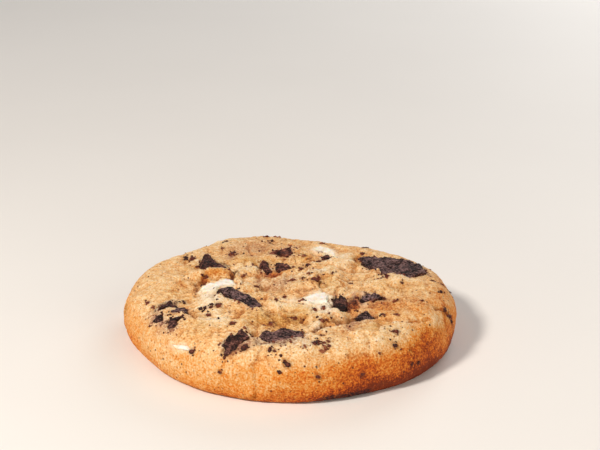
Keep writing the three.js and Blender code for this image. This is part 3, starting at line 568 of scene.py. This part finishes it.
GOLDEN = [  # the same, where the crust is a mustard gold rather than orange
    [-5, -21.5, 8, 5, 0, 0.7], [-19, 6.6, 4.5, 1.8, 4, 0.3], [2.6, 11, 2.6, 4, 0, 0.3],
    [10.8, 2, 3, 3.6, 0, 0.5], [3.8, 20.4, 1.6, 2.4, 0, 0.7], [19, 17.4, 1.4, 4, 0, 0.7],
    [22, -25.5, 2.4, 4, 0, 0.5], [-12.6, 17, 5, 2.6, 0, 0.4], [-30, -4, 6, 6, 0, 0.25],
    [-24, 14, 6, 3, 20, 0.35], [-6, 18, 6, 3, 0, 0.3], [-14, -9, 4, 5, 0, 0.25], [2, -17, 6, 4, 0, 0.35],
    [30, 6, 6, 3, 0, 0.35], [-23, -25, 5, 5, 0, 0.3], [28, -3, 6, 3, 0, 0.3],
]
COCOA = [  # the same, where wafer crumb was rubbed into the dough
    [-3, 2.6, 5, 3.4, 0, 0.55], [-8.4, 5.5, 1, 4.5, 0, 0.6], [-5.1, -5, 0.7, 5, 0, 0.5],
    [15.8, -22, 2.4, 2.2, 0, 0.9], [14.6, -26.4, 1.8, 2.4, 0, 0.7], [19, -19.2, 2, 0.9, 0, 0.9],
    [-10, 26, 7, 5, 0, 0.5], [-16.4, 21, 1.4, 3, 0, 0.8], [-33.4, -19.5, 5, 1.8, -60, 0.7],
    [-35.5, -15, 1.4, 3, 0, 0.4], [-11.2, -35.2, 1.8, 1.4, 0, 0.8], [-3, -34.4, 6, 1.6, 0, 0.8],
    [8, -27.4, 1.8, 1.6, 20, 0.6], [26.5, -11, 1.6, 2.4, 0, 0.35], [22.5, -12, 1.6, 3, 0, 0.4],
    [36.6, 14, 1.2, 6, 0, 0.5], [23, 8, 2, 3, 30, 0.3], [5.6, 10, 1.5, 3, 0, 0.3],
    [18.5, -7, 1.5, 3, 0, 0.3],
]
CREAMY = [  # the same, where cream melted into it
    [8, -8.6, 4, 4.2, 0, 0.75], [9, -16.5, 2.6, 2.6, 0, 0.5], [1, -9.5, 3.6, 2.6, 0, 0.3],
    [-20.4, 0.6, 2.6, 1.6, 0, 0.35], [-20.8, -6, 3.2, 5, 0, 0.1], [19.6, -11, 1, 2.4, 0, 0.4],
    [16.6, -6.5, 0.7, 2.4, 0, 0.5], [9.4, 25.4, 2.8, 2.6, 0, 0.6], [15, 19, 2, 4, 0, 0.2],
    [-15.2, 1.6, 1, 2.4, 0, 0.4], [23.2, 13.4, 0.6, 0.8, 0, 0.8],
]
STAINS_AND_CREASE_SHADE = [  # cocoa stains, and painted shade along creases and crevices: strength, half width, then the points they pass
    [0.9, 0.4, [2.6, -30.6], [5, -28.6], [7.2, -27.2], [9, -26.4], [11.4, -26]],
    [0.5, 0.9, [-8, -34.6], [-3, -35.6], [1.4, -34.2]],
    [0.85, 0.7, [-34.2, -13.6], [-33, -11], [-30.6, -10.2]],
    [0.8, 0.8, [-31.4, -12.6], [-28.4, -12]],
    [0.75, 0.7, [-31, -20], [-30.4, -23]],
    [0.8, 0.8, [-19.6, 14.6], [-17, 13.4]],
    [0.7, 1.0, [15.8, -9], [16.4, -12], [15.2, -14.4]],
    [0.6, 0.9, [17.4, -18.8], [20.6, -19.6]],
    [0.55, 1.0, [-16.6, -35.4], [-13.4, -35.8]],
    [0.75, 0.5, [39.2, -12.9], [41, -11], [43.2, -9.3]],
    [0.85, 0.8, [-15.6, 9.6], [-14.8, 6.6], [-15.6, 4]],
    [0.4, 0.5, [-24, 5], [-25, 1], [-24.6, -3]],
    [0.35, 0.4, [-26.6, -13.4], [-25.4, -17], [-23, -20]],
]
FOOT_PATCH = (14, 6.5, 2.4, 0.95)  # a dark crumb in the front foot: middle x, half width, height, strength
WAFER_HAZE, CREAM_HAZE, HAZE_REACH = 0.55, 0.6, 0.9
WAFER_HAZE_PATCHES = (1.9, 93, 0.7, 0.6)  # wavelength, seed, mean, swing
CREAM_HAZE_PATCHES = (1.5, 95, 0.6, 0.6)
CRUMB_STAIN, CRUMB_STAIN_REACH = 0.45, 0.25
COLOUR_WANDER = [*WANDER, [1.4, 0.5, 77, 78]]

x, y, z = dough_points.T
u, v = wandered(x, y, COLOUR_WANDER)
side = smoothstep(SIDE_TOP - z, 0, SIDE_FADE) * smoothstep(radius / rim, *SIDE_EDGE)
browning_and_shade = TOP_BROWNING * (1 - side) + around(SIDE_BROWNING_AND_SHADE, azimuth) * side + summed(BROWNED_AND_SHADED, u, v)
# painted shade low on the side, with some browning from the pan
browning_and_shade += around(FOOT_BROWNING_AND_SHADE, azimuth) * smoothstep(FOOT_REACH - z, 0, FOOT_REACH)
orange = np.clip(TOP_ORANGE + side + summed(ORANGE, u, v), 0, 1)
golden = summed(GOLDEN, u, v)
wafer_haze = WAFER_HAZE * bell(from_wafer, HAZE_REACH) * patchy(x, y, *WAFER_HAZE_PATCHES)
cocoa = np.clip(summed(COCOA, u, v) + wafer_haze, 0, 1)
cream_haze = CREAM_HAZE * bell(from_cream, HAZE_REACH) * patchy(x, y, *CREAM_HAZE_PATCHES)
cream = np.clip(summed(CREAMY, u, v) + cream_haze, 0, 1)
foot_x, foot_half, foot_height, foot_strength = FOOT_PATCH
at_foot = smoothstep(foot_height - z, -0.3, 0.5) * smoothstep(foot_half - abs(u - foot_x), 0, 1)
stain_and_shade = foot_strength * at_foot * (y < 0)
# cocoa stains, and painted shade along creases and crevices
for strength, half_width, *points in STAINS_AND_CREASE_SHADE:
    stain_and_shade = np.maximum(stain_and_shade, strength * bell(nearest_on_line(u, v, points)[0], half_width))
seeped = np.zeros(len(x))
for crumb_x, crumb_y, crumb_size in crumbs.tolist():
    spot = dough_tree.ray_cast((crumb_x, crumb_y, HIGH), (0, 0, -1))[0]
    if spot is None:
        continue
    beyond = np.maximum(np.linalg.norm(dough_points - np.array(spot), axis=1) - crumb_size / 2, 0)
    seeped = np.maximum(seeped, CRUMB_STAIN * bell(beyond, CRUMB_STAIN_REACH))

# The crust gets painted shade in its dips and painted light on its crests. A dip is a point that lies
# below the even height of the points round it.
EVENING_STEPS = 14
DIP_DEPTH = 0.32
DIPS_FROM = (6, 10)  # heights: the side below has none
# how much the dips are browned and darkened and the crests paled: painted shade and painted light
DIP_SHADE_AND_CREST_LIGHT, DIP_PAINTED_SHADE = 0.1, 0.36
ends = np.concatenate([triangles[:, [0, 1]], triangles[:, [1, 2]], triangles[:, [2, 0]]])
ends = np.concatenate([ends, ends[:, ::-1]])
count = np.bincount(ends[:, 0], minlength=len(z))
even = z.copy()
for _ in range(EVENING_STEPS):
    even = np.bincount(ends[:, 0], weights=even[ends[:, 1]], minlength=len(z)) / count
dip = np.clip((even - z) / DIP_DEPTH, -1, 1) * smoothstep(z, *DIPS_FROM)
browning_and_shade += DIP_SHADE_AND_CREST_LIGHT * dip
# dark: painted shade in the dips, with the stain round the dark crumbs
dark = np.maximum(DIP_PAINTED_SHADE * np.clip(dip, 0, 1), seeped)


def fill_mesh(name, points, triangles, **fields):
    """A smooth-shaded mesh from points in millimetres, with numbers stored at its points."""
    mesh = bpy.data.meshes.new(name)
    mesh.from_pydata((points * MM).tolist(), [], triangles.tolist())
    for field, values in fields.items():
        stored = mesh.attributes.new(field, "FLOAT", "POINT")
        stored.data.foreach_set("value", np.asarray(values, np.float32))
    mesh.shade_smooth()
    return mesh


crust_fields = dict(
    browning_and_shade=browning_and_shade, orange=orange, golden=golden, cocoa=cocoa, cream=cream, stain_and_shade=stain_and_shade, dark=dark
)
dough_mesh = fill_mesh("dough", dough_points, triangles, **crust_fields)

# Baked butter dough: matt, slightly translucent, with a sandy crust. The colour grain is 0.5 mm, the
# browned pits and the dark flecks are 0.3 to 0.5 mm, a pixel or two in the picture.
CRUST_PATTERNS = {  # size in millimetres, detail, and how strongly each one browns the crust
    "sand": (0.5, 3.0, 1.05),
    "mottle": (1.8, 3.0, 0.42),
    "blotch": (9, 2.0, 0.3),
}
CRUST_SPOTS = [  # cell in millimetres, edge and middle of the spot, strength, share of cells, more in cocoa
    (0.9, 0.36, 0.2, 0.6, 0.3, 0.0, "#9c5426"),  # browned pits
    (1.2, 0.3, 0.16, 1.0, 0.1, 0.3, "#633222"),  # dark flecks
]
PORE_SIZE = 0.35  # coarser than the real pores, so that they show
# the dip tint is painted shade in the dips; the stain tint also paints shade along creases and crevices
COCOA_TINT, STAIN_AND_SHADE_TINT, CREAM_TINT, DIP_SHADE_TINT = "#9c6c5b", "#33191a", "#f8ecd9", "#7a4024"
TOP_CRUST = [  # browning with its painted shade, and the colour it gives
    (0.0, "#f7e5ca"), (0.2, "#f2d2a2"), (0.36, "#e9ba80"), (0.5, "#dda060"),
    (0.62, "#c4834d"), (0.74, "#a46339"), (0.86, "#814525"), (1.0, "#5c2d17"),
]
SIDE_CRUST = [
    (0.0, "#f6e2c4"), (0.2, "#efcea0"), (0.36, "#e8b981"), (0.5, "#e2a055"),
    (0.62, "#dd8834"), (0.74, "#d06c1f"), (0.86, "#b14f19"), (1.0, "#7a3012"),
]
GOLD_CRUST = [(0.2, "#e9c890"), (0.45, "#d3a35b"), (0.65, "#b98238"), (0.85, "#8f5a22")]


def blend(tree, share, below, above):
    """The colour above laid over the colour below by a share."""
    return add(tree, "ShaderNodeMix", {0: share, 6: below, 7: above}, data_type="RGBA").outputs[2]


def surface(tree, shader, colour, height, strength, depth):
    """Gives a shader its colour, and a relief too fine for the mesh, in millimetres."""
    bump = add(tree, "ShaderNodeBump", {"Height": height, "Strength": strength, "Distance": depth * MM})
    tree.links.new(colour, shader.inputs["Base Color"])
    tree.links.new(bump.outputs["Normal"], shader.inputs["Normal"])


dough_finish, tree, shader, coords = new_material(
    "baked butter dough",
    Roughness=0.75,
    Specular_IOR_Level=0.2,
    Subsurface_Weight=0.12,
    Subsurface_Scale=0.0012,
)
shader.inputs["Subsurface Radius"].default_value = (1.0, 0.5, 0.25)
field = {
    name: add(tree, "ShaderNodeAttribute", attribute_name=name).outputs["Fac"]
    for name in crust_fields
}
# how baked the crust looks, with painted shade at the foot, on the side, in the dips and along creases
baked = field["browning_and_shade"]
pattern = {}
for name, (size, detail, strength) in CRUST_PATTERNS.items():
    inputs = {"Vector": coords, "Scale": 1 / (size * MM), "Detail": detail}
    pattern[name] = add(tree, "ShaderNodeTexNoise", inputs)
    centred = add(tree, "ShaderNodeMath", {0: pattern[name], 1: 0.5}, operation="SUBTRACT")
    baked = add(tree, "ShaderNodeMath", {0: centred, 1: strength, 2: baked}, operation="MULTIPLY_ADD")
top_crust, side_crust, gold_crust = (
    add(tree, "ShaderNodeValToRGB", {"Fac": baked}, stops=stops)
    for stops in (TOP_CRUST, SIDE_CRUST, GOLD_CRUST)
)
colour = blend(tree, field["orange"], top_crust, side_crust)
colour = blend(tree, field["golden"], colour, gold_crust)
inputs = {"Value": pattern["sand"], "From Min": 0.35, "From Max": 0.65, "To Min": 0.45, "To Max": 1.2}
uneven = add(tree, "ShaderNodeMapRange", inputs)
uneven_share = {
    name: add(tree, "ShaderNodeMath", {0: field[name], 1: uneven}, operation="MULTIPLY", use_clamp=True)
    for name in ("cocoa", "stain_and_shade", "cream")
}
colour = blend(tree, uneven_share["cocoa"], colour, linear(COCOA_TINT))
for cell_size, edge, middle, strength, few, more, tint in CRUST_SPOTS:
    cell = add(tree, "ShaderNodeTexVoronoi", {"Vector": coords, "Scale": 1 / (cell_size * MM)}).outputs
    inputs = {"Value": cell["Distance"], "From Min": edge, "From Max": middle, "To Max": strength}
    spot = add(tree, "ShaderNodeMapRange", inputs)
    lot = add(tree, "ShaderNodeSeparateColor", {0: cell["Color"]})
    share = add(tree, "ShaderNodeMath", {0: field["cocoa"], 1: more, 2: few}, operation="MULTIPLY_ADD")
    chosen = add(tree, "ShaderNodeMath", {0: lot, 1: share}, operation="LESS_THAN")
    spot = add(tree, "ShaderNodeMath", {0: spot, 1: chosen}, operation="MULTIPLY")
    colour = blend(tree, spot, colour, linear(tint))
# stains, and painted shade along creases and crevices
colour = blend(tree, uneven_share["stain_and_shade"], colour, linear(STAIN_AND_SHADE_TINT))
colour = blend(tree, uneven_share["cream"], colour, linear(CREAM_TINT))
# painted shade in the dips, and the stain round the dark crumbs
colour = blend(tree, field["dark"], colour, linear(DIP_SHADE_TINT))
pores = add(tree, "ShaderNodeTexNoise", {"Vector": coords, "Scale": 1 / (PORE_SIZE * MM), "Detail": 2.0})
rough = add(tree, "ShaderNodeMath", {0: pores, 1: pattern["sand"]}, operation="ADD")
surface(tree, shader, colour, rough, strength=0.7, depth=0.25)
dough_mesh.materials.append(dough_finish)
dough = show("baked_round", dough_mesh)
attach(dough, "root")
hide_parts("dough")

# ---------------- the chocolate wafers
# Pieces of black cocoa sandwich wafers, snapped by hand: matt, short-grained and crumbly along every
# break, with a bloom of mauve-grey dust and a painted sheen on the upward faces. Each sits in the dough
# with its break hidden.
WAFER_VOXEL = 0.24
WAFER_BREAK = [[2.2, 0.4, 5], [1.0, 0.26, 6], [0.5, 0.1, 7]]  # wavelength, height, seed
WAFER_CLODS = [[2.0, 0.6], [0.9, 0.3]]  # size and height of the clods that the break leaves
WAFER_CLOD_LEVEL = 0.45
WAFER_DUST_AND_SHEEN = {  # share of mauve dust bloom and painted sheen on each one's upward faces; the rest have little
    "wafer_back_right": 0.6,
    "wafer_leaning": 0.7,
    "wafer_right": 0.9,
    "wafer_left_bar": 0.6,
    "wafer_front": 0.5,
    "wafer_front_right": 1.0,
}
LITTLE_DUST_AND_SHEEN = 0.12
DUST_AND_SHEEN_FACING_UP = (0.2, 0.8)  # how far a face must look upwards to take some and all of the dust and painted sheen
WAFER_RUST = {  # share of redder, butter-soaked crumb; the rest have little
    "wafer_back": 0.8,
    "wafer_middle_left": 0.6,
    "wafer_middle_right": 0.6,
    "wafer_front": 0.3,
    "wafer_front_left": 0.25,
    "wafer_beside_cream": 0.6,
    "wafer_back_left": 0.3,
}
LITTLE_RUST = 0.15


def broken_copy(node, voxel, relief, clods=()):
    """Points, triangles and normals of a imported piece, finely remeshed and roughened."""
    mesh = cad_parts[node].data.copy()
    shape = bmesh.new()
    shape.from_mesh(mesh)
    bmesh.ops.remove_doubles(shape, verts=shape.verts, dist=1e-6)
    shape.to_mesh(mesh)
    shape.free()
    block = show(node + "_block", mesh)
    remesh = block.modifiers.new("remesh", "REMESH")
    remesh.mode = "VOXEL"
    remesh.voxel_size = voxel * MM
    even = bpy.data.meshes.new_from_object(block.evaluated_get(bpy.context.evaluated_depsgraph_get()))
    bpy.data.objects.remove(block)
    even.calc_loop_triangles()
    points = np.array([v.co for v in even.vertices]) / MM
    triangles = np.array([t.vertices for t in even.loop_triangles])
    lift = grain(points, relief)
    for size, height in clods:
        lift += height * (WAFER_CLOD_LEVEL - from_clod(points, size))
    points += point_normals(points, triangles) * lift[:, None]
    return points, triangles, point_normals(points, triangles)


WAFER_GRAIN, WAFER_PATCH = 0.5, 2.4  # size of the crumb that shows, and of its paler patches
GRAIN_STRETCH = (0.75, 1.0, 1.2)  # the crumb is a little longer along X and flatter
PATCH_STRENGTH = 0.55
# the mauve-grey of the dust bloom and of a painted sheen
WAFER_BLOOM_AND_SHEEN = "#94797a"
COCOA_CRUMB = [(0.36, "#090303"), (0.48, "#1e0d0b"), (0.58, "#43251f"), (0.7, "#80584c")]
RUSTY_CRUMB = [(0.36, "#1c0704"), (0.48, "#44190f"), (0.58, "#783c28"), (0.7, "#a8684a")]
wafer_finish, tree, shader, coords = new_material(
    "black cocoa wafer", Roughness=0.8, Specular_IOR_Level=0.3
)
drawn_out = add(tree, "ShaderNodeMapping", {"Vector": coords, "Scale": GRAIN_STRETCH})
inputs = {"Vector": drawn_out, "Scale": 1 / (WAFER_GRAIN * MM), "Detail": 4.0, "Roughness": 0.65}
short_grain = add(tree, "ShaderNodeTexNoise", inputs)
inputs = {"Vector": coords, "Scale": 1 / (WAFER_PATCH * MM), "Detail": 2.0}
patches = add(tree, "ShaderNodeTexNoise", inputs)
patches = add(tree, "ShaderNodeMath", {0: patches, 1: 0.5}, operation="SUBTRACT")
inputs = {0: patches, 1: PATCH_STRENGTH, 2: short_grain}
short_grain = add(tree, "ShaderNodeMath", inputs, operation="MULTIPLY_ADD")
black, rusty = (
    add(tree, "ShaderNodeValToRGB", {"Fac": short_grain}, stops=stops)
    for stops in (COCOA_CRUMB, RUSTY_CRUMB)
)
rust = add(tree, "ShaderNodeAttribute", attribute_name="rust").outputs["Fac"]
# dust: mauve dust bloom with painted sheen, on the faces that look upwards
dust = add(tree, "ShaderNodeAttribute", attribute_name="dust").outputs["Fac"]
inputs = {"Value": short_grain, "From Min": 0.44, "From Max": 0.62, "To Max": 0.85}
specks = add(tree, "ShaderNodeMapRange", inputs)
dusty_and_sheen = add(tree, "ShaderNodeMath", {0: dust, 1: specks}, operation="MULTIPLY", use_clamp=True)
colour = blend(tree, dusty_and_sheen, blend(tree, rust, black, rusty), linear(WAFER_BLOOM_AND_SHEEN))
surface(tree, shader, colour, short_grain, strength=1.0, depth=0.3)

for node in PIECE_NODES:
    if not node.startswith("wafer"):
        continue
    points, faces, facing = broken_copy(node, WAFER_VOXEL, WAFER_BREAK, WAFER_CLODS)
    # dust bloom and painted sheen, on the faces that look upwards
    dust = WAFER_DUST_AND_SHEEN.get(node, LITTLE_DUST_AND_SHEEN) * smoothstep(facing[:, 2], *DUST_AND_SHEEN_FACING_UP)
    rust = np.full(len(points), WAFER_RUST.get(node, LITTLE_RUST))
    mesh = fill_mesh(node + "_broken", points, faces, dust=dust, rust=rust)
    mesh.materials.append(wafer_finish)
    wafer = show(node + "_broken", mesh)
    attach(wafer, "root")
    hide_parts(node)

# ---------------- the white cream
# Lumps of the wafers' sugar filling, softened in the oven and set again: off-white, faintly satin and
# rounded, yellower where they took up butter low down.
CREAM_VOXEL = 0.22
CREAM_RELIEF = [[2.4, 0.35, 15], [0.9, 0.14, 16]]
BUTTERY_BELOW = (0.3, 1.8)  # how far below its crest the cream took up butter from the dough
MOST_BUTTERY = 0.9
FAT_SIZE = 1.5  # of the faint curds in it
FILLING = [(0.3, "#ecd9bd"), (0.5, "#f8efe1"), (0.7, "#fdf9f2")]
BUTTER_TINT = "#f0d3a6"
cream_finish, tree, shader, coords = new_material(
    "set sugar filling",
    Roughness=0.5,
    Specular_IOR_Level=0.4,
    Subsurface_Weight=0.25,
    Subsurface_Scale=0.0015,
)
fat = add(tree, "ShaderNodeTexNoise", {"Vector": coords, "Scale": 1 / (FAT_SIZE * MM), "Detail": 4.0})
filling = add(tree, "ShaderNodeValToRGB", {"Fac": fat}, stops=FILLING)
buttery = add(tree, "ShaderNodeAttribute", attribute_name="buttery").outputs["Fac"]
colour = blend(tree, buttery, filling, linear(BUTTER_TINT))
surface(tree, shader, colour, fat, strength=0.4, depth=0.3)

for node in PIECE_NODES:
    if not node.startswith("cream"):
        continue
    points, faces, _ = broken_copy(node, CREAM_VOXEL, CREAM_RELIEF)
    below = points[:, 2].max() - points[:, 2]
    buttery = MOST_BUTTERY * smoothstep(below, *BUTTERY_BELOW)
    mesh = fill_mesh(node + "_soft", points, faces, buttery=buttery)
    mesh.materials.append(cream_finish)
    cream_piece = show(node + "_soft", mesh)
    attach(cream_piece, "root")
    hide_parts(node)

# ---------------- the dark crumbs
# Crumbs of the same wafers, 1 to 2.4 mm, stirred into the dough and pressed into its top. They stand
# where the solid has them: the ones that can be told apart, then a thin even scatter.
CRUMB_SUNK = 0.25  # share of its half size
CRUMB_UNEVENNESS = 1.2
CRUMB_CLEARANCE = 0.3  # share of its size, from its middle to the nearest wafer or cream piece
crumb_x, crumb_y, crumb_size = crumbs.T

# Each one shed a few smaller bits beside it, the way a wafer crumb breaks as the dough is stirred.
BITS, BIT_SHARE, BIT_REACH, BIT_SEED = 3, 0.42, 0.7, 21
number = np.repeat(np.arange(len(crumbs)), BITS)
bit = np.tile(np.arange(BITS), len(crumbs))
angle = 2 * np.pi * chance(number, bit, BIT_SEED)
out = BIT_REACH * crumb_size[number] * (0.5 + chance(number, bit, BIT_SEED + 1))
bit_size = BIT_SHARE * crumb_size[number] * (0.5 + chance(number, bit, BIT_SEED + 2))
crumb_x = np.concatenate([crumb_x, crumb_x[number] + out * np.cos(angle)])
crumb_y = np.concatenate([crumb_y, crumb_y[number] + out * np.sin(angle)])
crumb_size = np.concatenate([crumb_size, bit_size])
crumb_points, kept_size = [], []
for x, y, size in zip(crumb_x.tolist(), crumb_y.tolist(), crumb_size.tolist()):
    spot, outwards, _, _ = dough_tree.ray_cast((x, y, HIGH), (0, 0, -1))
    if spot is None or spot.z < size:
        continue
    place = spot - outwards * CRUMB_SUNK * size / 2
    clearance = min(piece_tree.find_nearest(place)[3] for piece_tree in piece_trees.values())
    if clearance > CRUMB_CLEARANCE * size:
        crumb_points.append(place)
        kept_size.append(size)

# Thin crumbs soak up butter and let some light through, so they are a redder brown than the wafers.
BUTTERY_CRUMB = [(0.36, "#2c0f08"), (0.47, "#542012"), (0.56, "#78361f"), (0.68, "#a2633f")]
CRUMB_GRIT, CRUMB_LOT = 0.7, 4  # its grain, and the stretch over which crumbs are alike
crumb_finish, tree, shader, coords = new_material(
    "buttery cocoa crumb", Roughness=0.65, Specular_IOR_Level=0.35
)
grit = add(tree, "ShaderNodeTexNoise", {"Vector": coords, "Scale": 1 / (CRUMB_GRIT * MM), "Detail": 4.0})
lot = add(tree, "ShaderNodeTexNoise", {"Vector": coords, "Scale": 1 / (CRUMB_LOT * MM), "Detail": 0.0})
both = add(tree, "ShaderNodeMath", {0: grit, 1: lot}, operation="ADD")
shade = add(tree, "ShaderNodeMath", {0: both, 1: 0.5}, operation="MULTIPLY")
colour = add(tree, "ShaderNodeValToRGB", {"Fac": shade}, stops=BUTTERY_CRUMB)
surface(tree, shader, colour.outputs["Color"], grit, strength=0.8, depth=0.2)


def new_tree(name, **sockets):
    """A node tree that turns a geometry into another, with named inputs, and those inputs."""
    tree = bpy.data.node_groups.new(name, "GeometryNodeTree")
    for socket, kind in {"Geometry": "Geometry", **sockets}.items():
        tree.interface.new_socket(socket, in_out="INPUT", socket_type="NodeSocket" + kind)
    tree.interface.new_socket("Geometry", in_out="OUTPUT", socket_type="NodeSocketGeometry")
    return tree, add(tree, "NodeGroupInput").outputs


def end_in_bits(tree, given, spots, size, turns, shapes, seeds, cuts, bumps):
    """Stands a jagged bit on every spot, turned and shaped by chance, and ends the tree with them."""
    turn, shape = (
        add(tree, "FunctionNodeRandomValue", {0: low, 1: high, "Seed": seed}, data_type="FLOAT_VECTOR")
        for (low, high), seed in zip((turns, shapes), seeds)
    )
    shape = add(tree, "ShaderNodeVectorMath", {0: shape, "Scale": size}, operation="SCALE")
    ball = add(tree, "GeometryNodeMeshIcoSphere", {"Radius": 0.5 * MM, "Subdivisions": cuts})
    inputs = {"Points": spots, "Instance": ball, "Rotation": turn, "Scale": shape}
    bits = add(tree, "GeometryNodeInstanceOnPoints", inputs)
    bits = add(tree, "GeometryNodeRealizeInstances", {"Geometry": bits})
    rough = add(tree, "ShaderNodeTexNoise", bumps).outputs["Color"]
    rough = add(tree, "ShaderNodeVectorMath", {0: rough, 1: (0.5, 0.5, 0.5)}, operation="SUBTRACT")
    moves = {0: rough, "Scale": given["Unevenness"]}
    moves = add(tree, "ShaderNodeVectorMath", moves, operation="SCALE")
    bits = add(tree, "GeometryNodeSetPosition", {"Geometry": bits, "Offset": moves})
    bits = add(tree, "GeometryNodeSetMaterial", {"Geometry": bits, "Material": given["Finish"]})
    add(tree, "NodeGroupOutput", {"Geometry": bits})


crumb_tree, given = new_tree("pressed-in crumbs", Unevenness="Float", Finish="Material")
end_in_bits(
    crumb_tree,
    given,
    spots=add(crumb_tree, "GeometryNodeMeshToPoints", {"Mesh": given["Geometry"]}),
    size=add(crumb_tree, "GeometryNodeInputNamedAttribute", {"Name": "size"}),
    turns=((-0.4, -0.4, 0.0), (0.4, 0.4, 6.28)),
    shapes=((0.8, 0.55, 0.5), (1.35, 1.0, 0.8)),
    seeds=(3, 4),
    cuts=3,
    bumps={"Scale": 1 / (0.7 * MM), "Detail": 3.0, "Roughness": 0.7},
)


def grown(thing, tree, **inputs):
    """The thing's mesh after a node tree with those inputs, as plain smooth triangles."""
    modifier = thing.modifiers.new("grow", "NODES")
    modifier.node_group = tree
    sockets = {item.name: item.identifier for item in tree.interface.items_tree if item.in_out == "INPUT"}
    for name, value in inputs.items():
        modifier[sockets[name]] = value
    mesh = bpy.data.meshes.new_from_object(thing.evaluated_get(bpy.context.evaluated_depsgraph_get()))
    mesh.shade_smooth()
    thing.modifiers.remove(modifier)
    return mesh


no_faces = np.empty((0, 3), int)
crumb_seeds = fill_mesh("dark_crumbs", np.array(crumb_points), no_faces, size=kept_size)
dark_crumbs = show("dark_crumbs", crumb_seeds)
dark_crumbs.data = grown(dark_crumbs, crumb_tree, Unevenness=CRUMB_UNEVENNESS * MM, Finish=crumb_finish)
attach(dark_crumbs, "root")

# ---------------- the wafer dust
# Bits of wafer of 0.25 to 1.1 mm lie thickest along the wafers' edges and in the smears of cocoa,
# and a few are everywhere on the top.
DUST_AMOUNT = (0.6, 0.25, 1.1, 4)  # bits for each square millimetre, smallest, largest, seed
DUST_UNEVENNESS = 0.6
DUST_BESIDE, DUST_REACH = 0.2, 0.9  # thickest this near to a wafer, and spread over this reach
DUST_IN_COCOA, DUST_EVERYWHERE = 0.28, 0.02
OUTERMOST_DUST = 0.97  # share of the rim's radius
LOWEST_GRAIN = 3  # none lies lower than this, towards the table

dust_tree, given = new_tree(
    "wafer dust",
    Density="Float",
    Smallest="Float",
    Largest="Float",
    Seed="Int",
    Unevenness="Float",
    Finish="Material",
)
share = add(dust_tree, "GeometryNodeInputNamedAttribute", {"Name": "crumbly"})
density = add(dust_tree, "ShaderNodeMath", {0: share, 1: given["Density"]}, operation="MULTIPLY")
inputs = {"Mesh": given["Geometry"], "Density": density, "Seed": given["Seed"]}
spots = add(dust_tree, "GeometryNodeDistributePointsOnFaces", inputs)
lot = add(dust_tree, "FunctionNodeRandomValue", {2: 0.0, 3: 1.0, "Seed": 9}).outputs[1]
mostly_small = add(dust_tree, "ShaderNodeMath", {0: lot, 1: 2.2}, operation="POWER")
inputs = {"Value": mostly_small, "To Min": given["Smallest"], "To Max": given["Largest"]}
end_in_bits(
    dust_tree,
    given,
    spots=spots,
    size=add(dust_tree, "ShaderNodeMapRange", inputs),
    turns=((0.0, 0.0, 0.0), (6.28, 6.28, 6.28)),
    shapes=((0.8, 0.6, 0.5), (1.4, 1.0, 0.8)),
    seeds=(8, 10),
    cuts=2,
    bumps={"Scale": 1 / (0.4 * MM), "Detail": 1.0},
)



def sprinkled(name, crumbly, per_square_mm, smallest, largest, seed, finish, **fields):
    """Loose bits on the dough, as thick as each point is crumbly, with sizes in millimetres."""
    crumbly = crumbly * (dough_points[:, 2] > LOWEST_GRAIN)
    bits = show(name, fill_mesh(name, dough_points, triangles, crumbly=crumbly, **fields))
    bits.data = grown(
        bits,
        dust_tree,
        Density=per_square_mm * 1e6,
        Smallest=smallest,
        Largest=largest,
        Seed=seed,
        Unevenness=DUST_UNEVENNESS * MM,
        Finish=finish,
    )
    return bits


crumbly = bell(np.maximum(from_wafer - DUST_BESIDE, 0), DUST_REACH) * (from_piece > 0)
crumbly += DUST_IN_COCOA * cocoa + DUST_EVERYWHERE * (radius / rim < OUTERMOST_DUST)
wafer_dust = sprinkled("wafer_dust", crumbly, *DUST_AMOUNT, finish=crumb_finish)
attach(wafer_dust, "root")

# ---------------- the loose grains of dough
# Where wafers broke the crust the dough crumbled into pale grains of about a millimetre.
GRAIN_AMOUNT = (0.5, 0.5, 1.5, 6)
GRAINY = [  # centre x, y, half length, half width, turn, share
    [22.8, 10, 1.6, 4, 20, 1], [24, -15, 3.5, 3, 0, 0.5], [29, -13, 4, 4, 0, 0.35],
    [-6, -26.6, 6, 1.2, 0, 0.5], [16.6, -7, 1, 3.4, 0, 0.4], [-2, -19, 5, 4, 0, 0.3], [4, 20, 2, 3, 0, 0.4],
]

crumbly = summed(GRAINY, *dough_points.T[:2]) * (from_piece > 0)
dough_grains = sprinkled("dough_grains", crumbly, *GRAIN_AMOUNT, finish=dough_finish, **crust_fields)
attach(dough_grains, "root")
